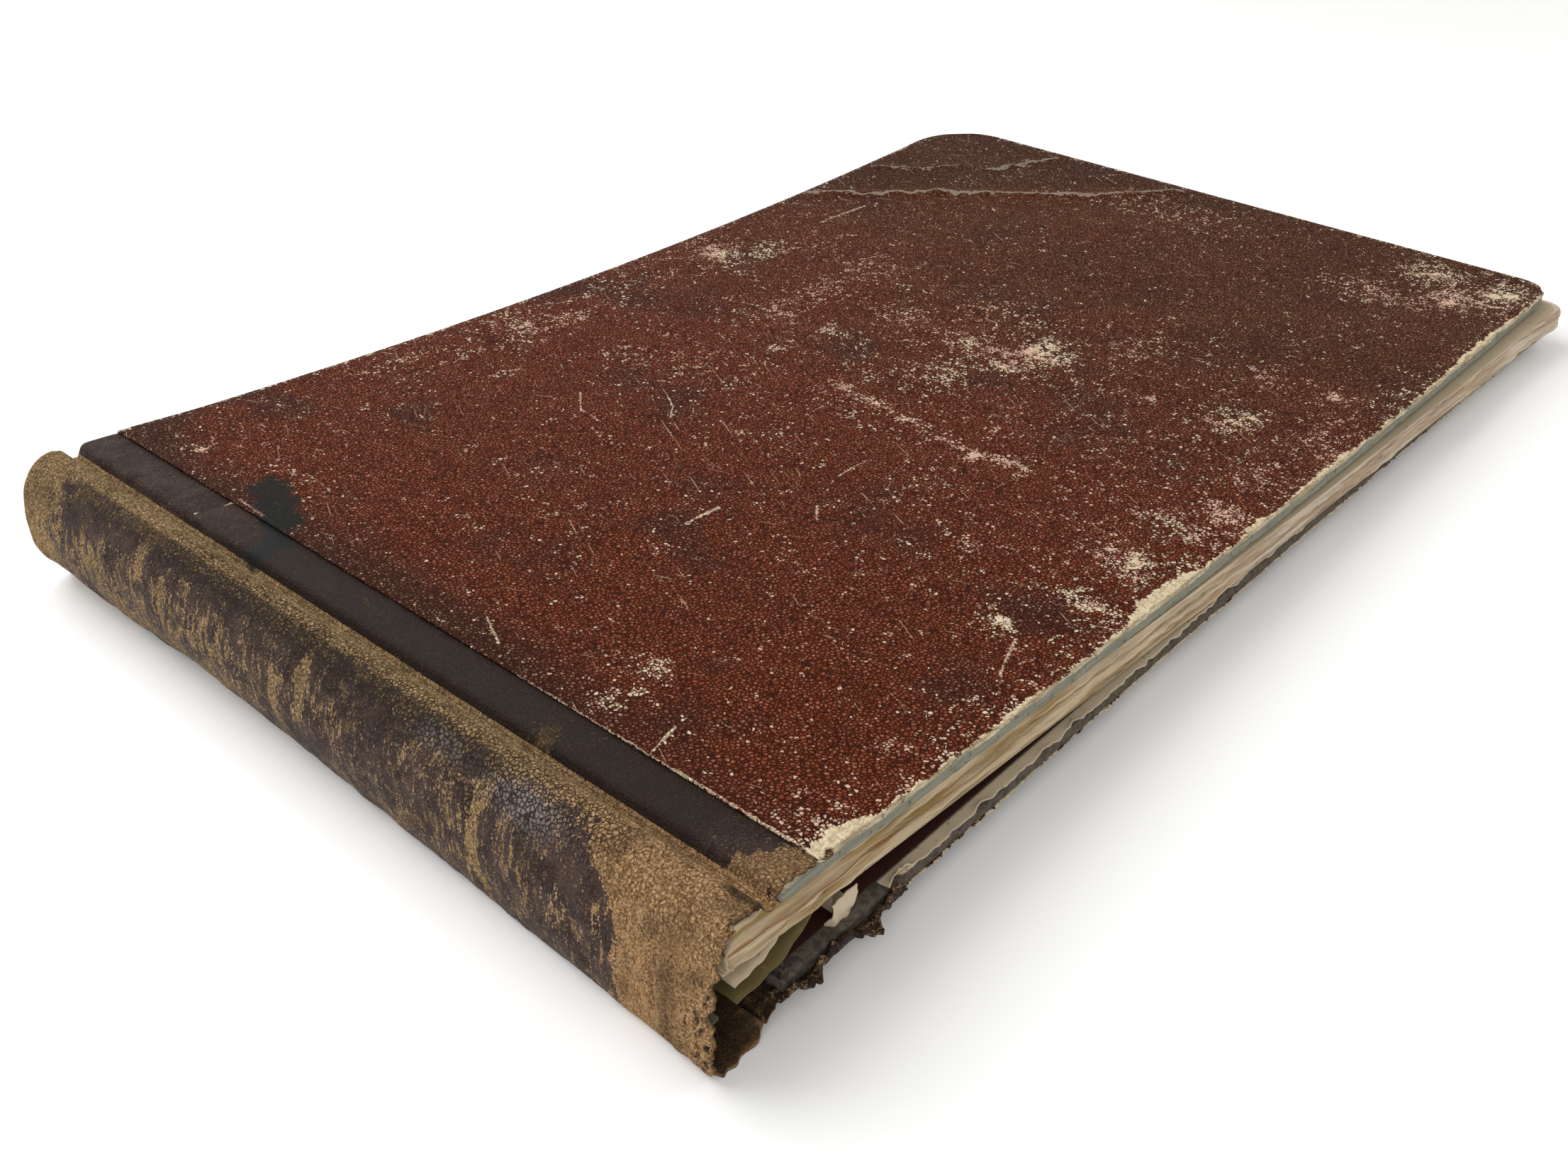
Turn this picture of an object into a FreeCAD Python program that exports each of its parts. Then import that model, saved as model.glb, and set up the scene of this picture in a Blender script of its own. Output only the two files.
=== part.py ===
import FreeCAD, Part
import math
import os
from FreeCAD import Vector

# An oblong quarter leather ledger that lies on its lower cover, in millimetres.
# While it is built, x runs from the spine edge of the boards to the fore-edge,
# y from the tail to the head, and z up from the table. The last step moves the
# origin to the middle of the book's footprint.

# Boards and what covers them
board_length = 355.0
board_width = 228.0
board_thickness = 3.5
tail_corner_radius = 9.0
head_corner_radius = 22.0
cloth_thickness = 0.4
leather_strip = 9.4
cloth_lap = 4.0
turn_in = 15.0
paper_thickness = 0.25
pastedown_margin = 3.0

# How the worn covers lie: the upper one sags, the lower one arches
upper_spine_height = 32.5
fore_edge_height = 18.0
upper_sag_tail = 3.5
upper_sag_head = 6.2
lower_spine_lift = 5.6
lower_arch_tail = 2.4
lower_arch_head = 0.4

# Spine leather, hollow behind the leaves
spine_thickness = 1.2
shoulder_rise = 1.4
bulge = 18.5
head_fullness = 0.35
waist_place = 165.0
tail_fullness = 1.15
lower_joint_height = 4.0
stiffener_thickness = 0.7
stiffener_edge = 9.0
stiffener_margin = 4.5
glue_line = 0.3

# Section of the spine leather, from the shoulder down, as shares of its depth
# behind the joints and of the height of its top; the foot is lean or full
shoulder_shares = ((0.075, 0.950), (0.212, 0.994), (0.381, 1.0), (0.638, 0.962), (0.855, 0.826))
back_shares = ((0.976, 0.649), (1.0, 0.472))
lean_foot_shares = ((0.896, 0.295), (0.726, 0.148), (0.512, 0.0), (0.349, -0.035))
full_foot_shares = ((1.019, 0.295), (1.013, 0.148), (0.929, 0.0), (0.740, -0.035))
foot_turn_share = (0.179, 0.027)

# Joints between the spine and the covers
hinge_offset = 3.0
open_clearance = 0.6
joint_slit = 0.3
joint_leather = 1.0
groove_clearance = 0.4

# Leaves, a little loose and turned in their covers
leaf_length = 366.0
leaf_width = 222.0
leaf_turn = 1.0
leaf_corner_radius = 4.0
back_place = 10.0
back_round = 0.8
page_gap = 0.3
leaves_at_stubs = 11.2
gap_closes = 230.0
gap_bow = 0.8
stub_length = 19.0
stub_slope = 10.0

# Sewing
tape_count = 4
tape_width = 14.0
tape_thickness = 0.5
tape_margin = 29.0
thread_diameter = 0.5
glue_film = 0.05
thread_overhang = 1.5
stitch_count = 6
mull_thickness = 0.4
mull_margin = 5.0

# Damage: worn spots of the cloth along the tail edge as (middle, width, depth)
worn_spots = (
    (16.0, 20.0, 4.5),
    (70.0, 26.0, 1.4),
    (127.0, 34.0, 6.0),
    (205.0, 44.0, 1.8),
    (300.0, 60.0, 2.4),
)
tongue_place = 1.0
tongue_width = 13.0
tongue_reach = 5.0
fold_overlap = 1.2

# Heights and depths that follow from the sizes above
cover_thickness = 2 * cloth_thickness + board_thickness + paper_thickness
spine_top = upper_spine_height + shoulder_rise
block_top = upper_spine_height - cover_thickness
block_low = lower_spine_lift + cover_thickness
under_leaves = block_top - leaves_at_stubs
upper_hinge_height = (spine_top + open_clearance + upper_spine_height) / 2
lower_hinge_height = (lower_spine_lift - open_clearance) / 2
leaf_tail = (board_width - leaf_width) / 2
beyond = 20.0
reach = max(board_length, leaf_length) + beyond
below_all = -40.0
above_all = 90.0

UPPER = "upper"
LOWER = "lower"


# Surfaces of the two covers

def outer_line(cover, y):
    """Heights at both ends of a cover's outer face, and how far its middle rises from their mean."""
    share = y / board_width
    if cover == UPPER:
        rise = -(upper_sag_tail + (upper_sag_head - upper_sag_tail) * share)
        return upper_spine_height, fore_edge_height, rise
    rise = lower_arch_tail + (lower_arch_head - lower_arch_tail) * share
    return lower_spine_lift, 0.0, rise


def outer_circle(cover, y):
    """Circle of a cover's outer face at one place between tail and head, and its upper or lower side."""
    spine_z, fore_z, rise = outer_line(cover, y)
    middle = Vector(board_length / 2, 0, (spine_z + fore_z) / 2 + rise)
    circle = Part.Arc(Vector(0, 0, spine_z), middle, Vector(board_length, 0, fore_z)).toShape().Curve
    side = 1 if rise > 0 else -1
    return circle.Center, circle.Radius, side


def outer_height(cover, x, y):
    """Height of a cover's outer face."""
    centre, radius, side = outer_circle(cover, y)
    return centre.z + side * math.sqrt(radius ** 2 - (x - centre.x) ** 2)


def outer_arc(cover, y, depth):
    """Arc along a cover at one place between tail and head, at a depth inside its outer face."""
    lift = -depth if cover == UPPER else depth
    places = (-beyond, board_length / 2, reach)
    points = [Vector(x, y, outer_height(cover, x, y) + lift) for x in places]
    return Part.Arc(*points).toShape()


def layer(cover, start, stop):
    """Solid between two depths inside a cover's outer face, larger in plan than the book."""
    wires = []
    for y in (-beyond, board_width + beyond):
        near = outer_arc(cover, y, start)
        far = outer_arc(cover, y, stop)
        left = Part.makeLine(near.firstVertex().Point, far.firstVertex().Point)
        right = Part.makeLine(near.lastVertex().Point, far.lastVertex().Point)
        wires.append(Part.Wire([near, right, far, left]))
    return Part.makeLoft(wires, True, True)


def plan(x0, x1, y0, y1, tail_radius, head_radius):
    """Upright block with its two fore-edge corners rounded."""
    diagonal = math.sqrt(0.5)
    tail_centre = Vector(x1 - tail_radius, y0 + tail_radius, below_all)
    head_centre = Vector(x1 - head_radius, y1 - head_radius, below_all)
    tail_middle = tail_centre + Vector(tail_radius * diagonal, -tail_radius * diagonal, 0)
    head_middle = head_centre + Vector(head_radius * diagonal, head_radius * diagonal, 0)
    tail_start = Vector(tail_centre.x, y0, below_all)
    tail_end = Vector(x1, tail_centre.y, below_all)
    head_start = Vector(x1, head_centre.y, below_all)
    head_end = Vector(head_centre.x, y1, below_all)
    spine_head = Vector(x0, y1, below_all)
    spine_tail = Vector(x0, y0, below_all)
    edges = [
        Part.makeLine(spine_tail, tail_start),
        Part.Arc(tail_start, tail_middle, tail_end).toShape(),
        Part.makeLine(tail_end, head_start),
        Part.Arc(head_start, head_middle, head_end).toShape(),
        Part.makeLine(head_end, spine_head),
        Part.makeLine(spine_head, spine_tail),
    ]
    return Part.Face(Part.Wire(edges)).extrude(Vector(0, 0, above_all - below_all))


def board_plan(margin):
    """Outline of a board, grown by a margin."""
    return plan(
        -margin,
        board_length + margin,
        -margin,
        board_width + margin,
        tail_corner_radius + margin,
        head_corner_radius + margin,
    )


def block(x0, x1, y0, y1, z0, z1):
    """Box between two corners."""
    return Part.makeBox(x1 - x0, y1 - y0, z1 - z0, Vector(x0, y0, z0))


def extruded(points, y0, y1):
    """Polygon in the x-z plane drawn out from y0 to y1."""
    corners = [Vector(x, y0, z) for x, z in points]
    wire = Part.makePolygon(corners + corners[:1])
    return Part.Face(wire).extrude(Vector(0, y1 - y0, 0))


def standing(shape):
    """Shape worn flat where it would reach below the table."""
    under = block(-beyond - bulge, reach, -beyond, board_width + beyond, below_all, 0)
    return shape.cut(under)


# Covers

def make_board(cover):
    core = layer(cover, cloth_thickness, cloth_thickness + board_thickness)
    return core.common(board_plan(0))


def covering_skin(cover):
    """Thin wrap all round a board, open inside except for its turn-ins and bare along the tail."""
    both_faces = layer(cover, 0, 2 * cloth_thickness + board_thickness)
    wrap = both_faces.common(board_plan(cloth_thickness)).cut(make_board(cover))
    inner = layer(cover, cloth_thickness + board_thickness, 2 * cover_thickness)
    window = block(
        -beyond,
        board_length - turn_in,
        turn_in,
        board_width - turn_in,
        below_all,
        above_all,
    )
    tail_side = block(-beyond, reach, -beyond, 0, below_all, above_all)
    return wrap.cut(inner.common(window)).cut(tail_side)


def worn_away():
    """Upright scoops where the cloth is rubbed off the tail edge."""
    scoops = []
    for middle, width, depth in worn_spots:
        radius = (width ** 2 / 4 + depth ** 2) / (2 * depth)
        centre = Vector(middle, depth - radius, below_all)
        scoops.append(Part.makeCylinder(radius, above_all - below_all, centre))
    return scoops


def make_cloth(cover):
    lap_end = leather_strip + cloth_lap
    spine_side = block(-beyond, lap_end, -beyond, board_width + beyond, below_all, above_all)
    siding = covering_skin(cover).cut(spine_side)
    lap_strip = block(leather_strip, lap_end + cloth_lap, 0, board_width, below_all, above_all)
    lap = layer(cover, -cloth_thickness, 0).common(lap_strip)
    cloth = siding.fuse(lap).removeSplitter()
    face = layer(cover, -2 * cloth_thickness, 2 * cloth_thickness)
    for scoop in worn_away():
        cloth = cloth.cut(face.common(scoop))
    return standing(cloth)


def joint_profile(cover):
    """Section of the leather that runs down a board's spine edge and out to the slit at the joint."""
    slit = -hinge_offset + joint_slit / 2
    if cover == UPPER:
        foot_low = upper_spine_height - cover_thickness + groove_clearance
        foot_high = foot_low + joint_leather
        top = upper_spine_height - cloth_thickness / 2
        return (
            (slit, foot_low),
            (0, foot_low),
            (0, top),
            (-joint_leather, top),
            (-joint_leather, foot_high),
            (slit, foot_high),
        )
    low = lower_spine_lift + cloth_thickness / 2
    return (
        (slit, lower_joint_height),
        (-joint_leather, lower_spine_lift - joint_leather / 2),
        (0, low),
        (0, lower_spine_lift + board_thickness),
        (-joint_leather, lower_spine_lift + board_thickness),
        (-joint_leather, low + joint_leather),
        (slit, lower_joint_height + joint_leather),
    )


def make_leather(cover):
    lap_end = leather_strip + cloth_lap
    head = board_width + cloth_thickness
    strip_plan = block(-joint_leather, lap_end, -cloth_thickness, head, below_all, above_all)
    both_faces = layer(cover, 0, 2 * cloth_thickness + board_thickness)
    core = layer(cover, cloth_thickness, cloth_thickness + board_thickness)
    inner = layer(cover, cloth_thickness, 2 * cover_thickness)
    edge = block(0, lap_end, 0, board_width, below_all, above_all)
    inside = block(-beyond, lap_end, turn_in, board_width - turn_in, below_all, above_all)
    tail_side = block(-beyond, lap_end, -beyond, 0, below_all, above_all)
    strip = both_faces.common(strip_plan).cut(core.common(edge)).cut(inner.common(inside)).cut(tail_side)
    joint = extruded(joint_profile(cover), 0, board_width)
    return strip.fuse(joint).removeSplitter()


def make_pastedown(cover, board, cloth, leather):
    bare = layer(cover, cloth_thickness + board_thickness, cover_thickness)
    sheet = bare.common(
        plan(
            pastedown_margin,
            board_length - pastedown_margin,
            pastedown_margin,
            board_width - pastedown_margin,
            tail_corner_radius,
            head_corner_radius,
        )
    )
    return sheet.cut(board).cut(cloth).cut(leather)


# Spine

def spine_points(fullness):
    """Outer face of the spine leather, from the upper groove round the back to the lower joint."""
    slit = hinge_offset + joint_slit / 2
    depth = bulge - slit
    groove = upper_spine_height - cover_thickness + groove_clearance + joint_leather
    foot = [
        (a[0] + (b[0] - a[0]) * fullness, a[1] + (b[1] - a[1]) * fullness)
        for a, b in zip(lean_foot_shares, full_foot_shares)
    ]
    shares = list(shoulder_shares) + list(back_shares) + foot + [foot_turn_share]
    points = [(-slit - out * depth, up * spine_top) for out, up in shares]
    return [(-slit, groove)] + points + [(-slit, lower_joint_height)]


def inset(points, distance):
    """Points moved towards the hollow by a distance, square to the line through their neighbours."""
    moved = []
    last = len(points) - 1
    for i, (x, z) in enumerate(points):
        before = points[max(i - 1, 0)]
        after = points[min(i + 1, last)]
        run = math.hypot(after[0] - before[0], after[1] - before[1])
        along = ((after[0] - before[0]) / run, (after[1] - before[1]) / run)
        moved.append((x - along[1] * distance, z + along[0] * distance))
    return moved


def shell_section(points, near, far, y):
    """Closed section between two insets of one smooth line that the points draw."""
    sides = []
    for distance in (near, far):
        curve = Part.BSplineCurve()
        curve.buildFromPoles([Vector(x, y, z) for x, z in inset(points, distance)])
        sides.append(curve.toShape())
    start = Part.makeLine(sides[0].firstVertex().Point, sides[1].firstVertex().Point)
    end = Part.makeLine(sides[0].lastVertex().Point, sides[1].lastVertex().Point)
    return Part.Wire([sides[0], end, sides[1], start])


def spine_shell(near, far):
    """Curved wall behind the leaves, lofted from the tail to the waist and on to the head."""
    stations = (
        (0, tail_fullness),
        (waist_place, 0),
        (board_width, head_fullness),
    )
    sections = [
        shell_section(spine_points(fullness), near, far, y)
        for y, fullness in stations
    ]
    return Part.makeLoft(sections, True, True)


def make_spine_leather():
    return standing(spine_shell(0, spine_thickness))


def make_stiffener():
    near = spine_thickness + glue_line
    card = spine_shell(near, near + stiffener_thickness)
    ends = block(
        -beyond - bulge,
        -stiffener_edge,
        leaf_tail + stiffener_margin,
        leaf_tail + leaf_width - stiffener_margin,
        below_all,
        above_all,
    )
    return card.common(ends)


# Leaves

def back_arc(extra, y):
    """Rounded back of the sewn leaves, moved out by an extra distance."""
    return Part.Arc(
        Vector(-back_place - extra, y, block_low),
        Vector(-back_place - back_round - extra, y, (block_low + block_top) / 2),
        Vector(-back_place - extra, y, block_top),
    ).toShape()


def turned(shape):
    """Shape turned with the leaves about the middle of their back."""
    moved = shape.copy()
    moved.rotate(Vector(-back_place, board_width / 2, 0), Vector(0, 0, 1), -leaf_turn)
    return moved


def leaf_plan(start):
    """Outline of the leaves from one place near their back to the fore-edge."""
    return turned(
        plan(
            start,
            leaf_length - back_place,
            leaf_tail,
            leaf_tail + leaf_width,
            leaf_corner_radius,
            leaf_corner_radius,
        )
    )


def leaf_profile(drop):
    """Section of the leaves: back, stubs of the lost leaves, and the slope over the dark gap."""
    slope_start = Vector(stub_length, 0, under_leaves - drop)
    slope_end = Vector(gap_closes, 0, outer_height(LOWER, gap_closes, 0) + cover_thickness - drop)
    slope_middle = (slope_start + slope_end) * 0.5 - Vector(0, 0, gap_bow)
    outline = [
        slope_end,
        Vector(leaf_length, 0, -beyond / 2),
        Vector(leaf_length, 0, spine_top),
        Vector(-back_place, 0, spine_top),
        Vector(-back_place, 0, block_top),
    ]
    stubs = [
        Vector(-back_place, 0, block_low),
        Vector(stub_length - stub_slope, 0, block_low),
        slope_start,
    ]
    edges = [Part.makeLine(a, b) for a, b in zip(stubs, stubs[1:])]
    edges.append(Part.Arc(slope_start, slope_middle, slope_end).toShape())
    edges += [Part.makeLine(a, b) for a, b in zip(outline, outline[1:])]
    edges.append(back_arc(0, 0))
    face = Part.Face(Part.Wire(Part.__sortEdges__(edges)))
    raw = face.extrude(Vector(0, board_width + 2 * beyond, 0))
    raw.translate(Vector(0, -beyond, 0))
    return raw


def between_covers(shape, upper_depth, lower_depth):
    """Shape trimmed to the space between two depths inside the covers."""
    above = layer(UPPER, -beyond, upper_depth)
    below = layer(LOWER, -beyond, lower_depth)
    return shape.cut(above).cut(below)


def make_text_block():
    depth = cover_thickness + page_gap + paper_thickness
    raw = turned(leaf_profile(0)).common(leaf_plan(-beyond))
    return between_covers(raw, depth, depth)


def make_front_flyleaf():
    depth = cover_thickness + page_gap
    return layer(UPPER, depth, depth + paper_thickness).common(leaf_plan(-back_place))


def make_rear_flyleaf(text_block):
    depth = cover_thickness + page_gap
    raw = turned(leaf_profile(paper_thickness)).common(leaf_plan(-beyond))
    under = between_covers(raw, depth + paper_thickness, depth)
    lost = block(-beyond - bulge, stub_length, -beyond, board_width + beyond, below_all, above_all)
    sheet = under.cut(text_block).cut(turned(lost))
    return sheet.fuse(torn_tongue()).removeSplitter()


def torn_tongue():
    """Torn strip of the rear flyleaf that hangs to the lower cover near the tail."""
    first = leaf_tail + tongue_place
    foot = outer_height(LOWER, stub_length, 0) + cover_thickness + page_gap
    near = stub_length + paper_thickness / 2
    far = near + paper_thickness
    profile = (
        (near, under_leaves - paper_thickness / 2),
        (far + fold_overlap, under_leaves - paper_thickness / 2),
        (far + fold_overlap, under_leaves - paper_thickness),
        (far, under_leaves - 2 * paper_thickness),
        (far, foot + paper_thickness),
        (near + tongue_reach, foot + paper_thickness),
        (near + tongue_reach, foot),
        (near, foot),
    )
    return turned(extruded(profile, first, first + tongue_width))


# Sewing

def tape_places():
    spacing = (leaf_width - 2 * tape_margin) / (tape_count - 1)
    return [leaf_tail + tape_margin + i * spacing for i in range(tape_count)]


def back_band(near, far, y0, y1):
    """Band that follows the back of the leaves between two distances from it."""
    inner = back_arc(near, y0)
    outer = back_arc(far, y0)
    low = Part.makeLine(inner.firstVertex().Point, outer.firstVertex().Point)
    high = Part.makeLine(inner.lastVertex().Point, outer.lastVertex().Point)
    face = Part.Face(Part.Wire([inner, high, outer, low]))
    return turned(face.extrude(Vector(0, y1 - y0, 0)))


def make_tape(y):
    start = y - tape_width / 2
    return back_band(glue_film, glue_film + tape_thickness, start, start + tape_width)


def make_mull():
    near = 3 * glue_film + tape_thickness + thread_diameter
    start = leaf_tail + mull_margin
    return back_band(near, near + mull_thickness, start, start + leaf_width - 2 * mull_margin)


def make_thread():
    """Stitches that cross each tape, one for each sewn section."""
    circle = back_arc(2 * glue_film + tape_thickness + thread_diameter / 2, 0).Curve
    pitch = (block_top - block_low) / stitch_count
    stitches = []
    for y in tape_places():
        start = y - tape_width / 2 - thread_overhang
        for i in range(stitch_count):
            z = block_low + (i + 0.5) * pitch
            x = circle.Center.x - math.sqrt(circle.Radius ** 2 - (z - circle.Center.z) ** 2)
            length = tape_width + 2 * thread_overhang
            rod = Part.makeCylinder(thread_diameter / 2, length, Vector(x, start, z), Vector(0, 1, 0))
            stitches.append(turned(rod))
    return Part.makeCompound(stitches)


# The book

def make_book():
    pieces = {}
    for cover in (UPPER, LOWER):
        board = make_board(cover)
        cloth = make_cloth(cover)
        leather = make_leather(cover)
        pieces[cover + "_board"] = board
        pieces[cover + "_cloth"] = cloth
        pieces[cover + "_leather"] = leather
        pieces[cover + "_pastedown"] = make_pastedown(cover, board, cloth, leather)
    text_block = make_text_block()
    pieces["text_block"] = text_block
    pieces["front_flyleaf"] = make_front_flyleaf()
    pieces["rear_flyleaf"] = make_rear_flyleaf(text_block)
    pieces["spine_leather"] = make_spine_leather()
    pieces["spine_stiffener"] = make_stiffener()
    pieces["spine_mull"] = make_mull()
    pieces["sewing_thread"] = make_thread()
    for number, y in enumerate(tape_places(), start=1):
        pieces["sewing_tape_%d" % number] = make_tape(y)
    return pieces


os.makedirs("parts", exist_ok=True)
book = make_book()
whole = FreeCAD.BoundBox()
for shape in book.values():
    whole.add(shape.optimalBoundingBox())
to_origin = Vector(-(whole.XMin + whole.XMax) / 2, -(whole.YMin + whole.YMax) / 2, -whole.ZMin)
for name, shape in book.items():
    shape.translate(to_origin)
    shape.exportStep("parts/%s.step" % name)
    print(name, "solids", len(shape.Solids), "volume", round(shape.Volume, 1), "valid", shape.isValid())
for height in (upper_hinge_height, lower_hinge_height):
    print("hinge through", Vector(-hinge_offset, board_width / 2, height) + to_origin)
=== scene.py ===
import math

import bpy
import numpy as np
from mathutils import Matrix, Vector, noise


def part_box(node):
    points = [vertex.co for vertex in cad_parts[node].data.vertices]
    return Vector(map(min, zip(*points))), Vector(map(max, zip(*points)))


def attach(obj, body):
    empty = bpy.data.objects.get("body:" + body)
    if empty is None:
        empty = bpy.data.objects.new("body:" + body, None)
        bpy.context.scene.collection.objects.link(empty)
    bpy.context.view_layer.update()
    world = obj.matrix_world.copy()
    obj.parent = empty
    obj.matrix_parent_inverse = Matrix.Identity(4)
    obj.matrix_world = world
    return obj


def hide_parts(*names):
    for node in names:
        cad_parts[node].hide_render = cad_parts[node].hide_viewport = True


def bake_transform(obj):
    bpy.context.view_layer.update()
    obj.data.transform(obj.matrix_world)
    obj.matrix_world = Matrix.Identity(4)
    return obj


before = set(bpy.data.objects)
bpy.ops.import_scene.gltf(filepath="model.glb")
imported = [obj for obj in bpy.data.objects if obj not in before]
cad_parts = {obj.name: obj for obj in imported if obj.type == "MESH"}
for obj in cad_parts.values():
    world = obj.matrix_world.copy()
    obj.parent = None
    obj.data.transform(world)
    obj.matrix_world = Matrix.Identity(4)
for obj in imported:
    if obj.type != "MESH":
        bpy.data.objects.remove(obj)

bl_info = {
    "name": "Oblong Quarter Leather Ledger",
    "version": (1, 0, 0),
    "blender": (4, 2, 0),
    "location": "View3D > Sidebar > Ledger",
    "description": "Dresses a worn oblong ledger: cloth sides, hollow leather back, loose leaves",
    "category": "Add Mesh",
}

MM = 0.001
BOARD_LOW, BOARD_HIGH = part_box("upper_board")
CORNER = Vector((BOARD_LOW.x, BOARD_LOW.y, 0))
LENGTH = (BOARD_HIGH.x - BOARD_LOW.x) / MM
WIDTH = (BOARD_HIGH.y - BOARD_LOW.y) / MM
UPPER = "upper"
LOWER = "lower"


# Sizes and colours

def millimetres(name, description, default):
    """A size that a user may change."""
    return bpy.props.FloatProperty(name=name, description=description, default=default)


def tint(name, description, default):
    """A colour that a user may change."""
    return bpy.props.FloatVectorProperty(
        name=name, description=description, subtype="COLOR", size=3, default=default)


class LedgerSizes(bpy.types.PropertyGroup):
    """Sizes in millimetres, in book coordinates: x from the boards' spine edge, y from the tail"""
    spine_height: millimetres("Spine height", "Upper board's top at the spine", 32.5)
    fore_height: millimetres("Fore-edge height", "Upper board's top at the fore-edge", 18.0)
    sag_tail: millimetres("Sag at tail", "How far the upper board sags at the tail", 3.5)
    sag_head: millimetres("Sag at head", "How far the upper board sags at the head", 6.2)
    lower_lift: millimetres("Lower lift", "Lower board's height at the spine", 5.6)
    arch_tail: millimetres("Arch at tail", "Rise of the lower board at the tail", 2.4)
    arch_head: millimetres("Arch at head", "Rise of the lower board at the head", 0.4)
    board: millimetres("Board", "Thickness of a board", 3.5)
    cloth: millimetres("Cloth", "Thickness of the cloth", 0.4)
    strip: millimetres("Leather strip", "Width of the leather on a board", 9.4)
    tail_radius: millimetres("Tail corner", "Radius of the boards' tail corner", 9.0)
    head_radius: millimetres("Head corner", "Radius of the boards' head corner", 22.0)
    turn_in: millimetres("Turn-in", "Cloth turned in round the board", 15.0)
    leather: millimetres("Leather", "Thickness of the spine leather", 1.2)
    bulge: millimetres("Bulge", "How far the back stands out", 18.5)
    shoulder: millimetres("Shoulder", "Rise of the shoulder over the board", 1.4)
    pebble: millimetres("Pebble", "Pitch of the cloth's grain", 0.95)


class LedgerColours(bpy.types.PropertyGroup):
    """Colours of the book's finishes"""
    cloth: tint("Cloth", "Red-brown cloth", (0.142, 0.028, 0.0080))
    cloth_dull: tint("Faded cloth", "Browner cloth toward the fore-edge", (0.090, 0.031, 0.0090))
    cloth_dark: tint("Soiled cloth", "Cloth darkened by hands and soot", (0.026, 0.017, 0.011))
    # Painted highlight on the pebble tops, and painted shade in the valleys between them
    pebble_highlight: tint("Grain top", "Lighter tops of the pebbles", (0.30, 0.15, 0.105))
    pebble_shade: tint("Grain bottom", "Dark valleys between pebbles", (0.026, 0.005, 0.002))
    scuff: tint("Scuff", "Cloth rubbed to its pink backing", (0.60, 0.37, 0.28))
    crease: tint("Crease", "Cloth worn along a fold", (0.25, 0.195, 0.15))
    backing: tint("Backing", "Bare cream backing", (0.68, 0.57, 0.39))
    ink: tint("Ink", "Dried ink stain", (0.010, 0.013, 0.012))
    hide: tint("Leather", "Dark skin of the leather", (0.024, 0.013, 0.011))
    suede: tint("Suede", "Leather rubbed to tan suede", (0.235, 0.147, 0.068))
    torn: tint("Torn leather", "Orange tan where the tail is torn", (0.33, 0.185, 0.083))
    board: tint("Board", "Grey millboard", (0.175, 0.178, 0.145))
    page: tint("Leaf edges", "Ivory leaf edges", (0.60, 0.47, 0.31))
    page_old: tint("Browned leaves", "Ochre leaf edges", (0.33, 0.215, 0.085))
    page_pale: tint("Pale leaves", "Whiter leaf edges toward the fore-edge", (0.68, 0.57, 0.45))
    # Near-black lining: painted shade for the dark gap between the leaves and the lower board
    shade_lining: tint("Lining paper", "Dark paper pasted in the covers", (0.040, 0.012, 0.009))
    linen: tint("Linen", "Tapes and thread", (0.55, 0.48, 0.35))


def sizes():
    return bpy.context.scene.ledger_sizes


def colour(name):
    return (*getattr(bpy.context.scene.ledger_colours, name), 1.0)


# Shape of the covers and of the back

def outer_circle(cover, y):
    """Centre and radius, in the x-z plane, of the arc that a cover's outer face follows."""
    s = sizes()
    share = y / WIDTH
    if cover == UPPER:
        start, end = s.spine_height, s.fore_height
        rise = -(s.sag_tail + (s.sag_head - s.sag_tail) * share)
    else:
        start, end = s.lower_lift, 0.0
        rise = s.arch_tail + (s.arch_head - s.arch_tail) * share
    middle_x, middle_z = LENGTH / 2, (start + end) / 2 + rise
    a = np.array([[middle_x, middle_z - start], [LENGTH, end - start]])
    b = np.array([middle_x ** 2 + middle_z ** 2 - start ** 2, LENGTH ** 2 + end ** 2 - start ** 2]) / 2
    centre = np.linalg.solve(a, b)
    return centre[0], centre[1], math.hypot(centre[0], centre[1] - start), 1 if rise > 0 else -1


CIRCLES = {}


def outer_height(cover, x, y):
    """Height of a cover's outer face, for arrays of x and y."""
    if cover not in CIRCLES:
        CIRCLES[cover] = (np.array(outer_circle(cover, 0.0)), np.array(outer_circle(cover, WIDTH)))
    heights = []
    for cx, cz, radius, side in CIRCLES[cover]:
        heights.append(cz + side * np.sqrt(radius ** 2 - (np.asarray(x, float) - cx) ** 2))
    share = np.asarray(y, float) / WIDTH
    return heights[0] * (1 - share) + heights[1] * share


SHOULDER = ((0.075, 0.950), (0.212, 0.994), (0.381, 1.0), (0.638, 0.962), (0.855, 0.826))
BACK = ((0.976, 0.649), (1.0, 0.472))
LEAN_FOOT = ((0.896, 0.295), (0.726, 0.148), (0.512, 0.0), (0.349, -0.035))
FULL_FOOT = ((1.019, 0.295), (1.013, 0.148), (0.929, 0.0), (0.740, -0.035))
FOOT_TURN = (0.179, 0.027)
SLIT = 3.15
GROOVE = 29.35
LOWER_JOINT = 4.0
WAIST = 165.0
TAIL_FULLNESS = 1.15
HEAD_FULLNESS = 0.35


def fullness(y):
    if y < WAIST:
        return TAIL_FULLNESS * (1 - y / WAIST)
    return HEAD_FULLNESS * (y - WAIST) / (WIDTH - WAIST)


def spine_poles(full):
    """Poles of the curve that the outer face of the back follows."""
    s = sizes()
    top = s.spine_height + s.shoulder
    foot = [(a[0] + (b[0] - a[0]) * full, a[1] + (b[1] - a[1]) * full) for a, b in zip(LEAN_FOOT, FULL_FOOT)]
    shares = [*SHOULDER, *BACK, *foot, FOOT_TURN]
    points = [(-SLIT - out * (s.bulge - SLIT), up * top) for out, up in shares]
    return np.array([(-SLIT, GROOVE), *points, (-SLIT, LOWER_JOINT)])


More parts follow.
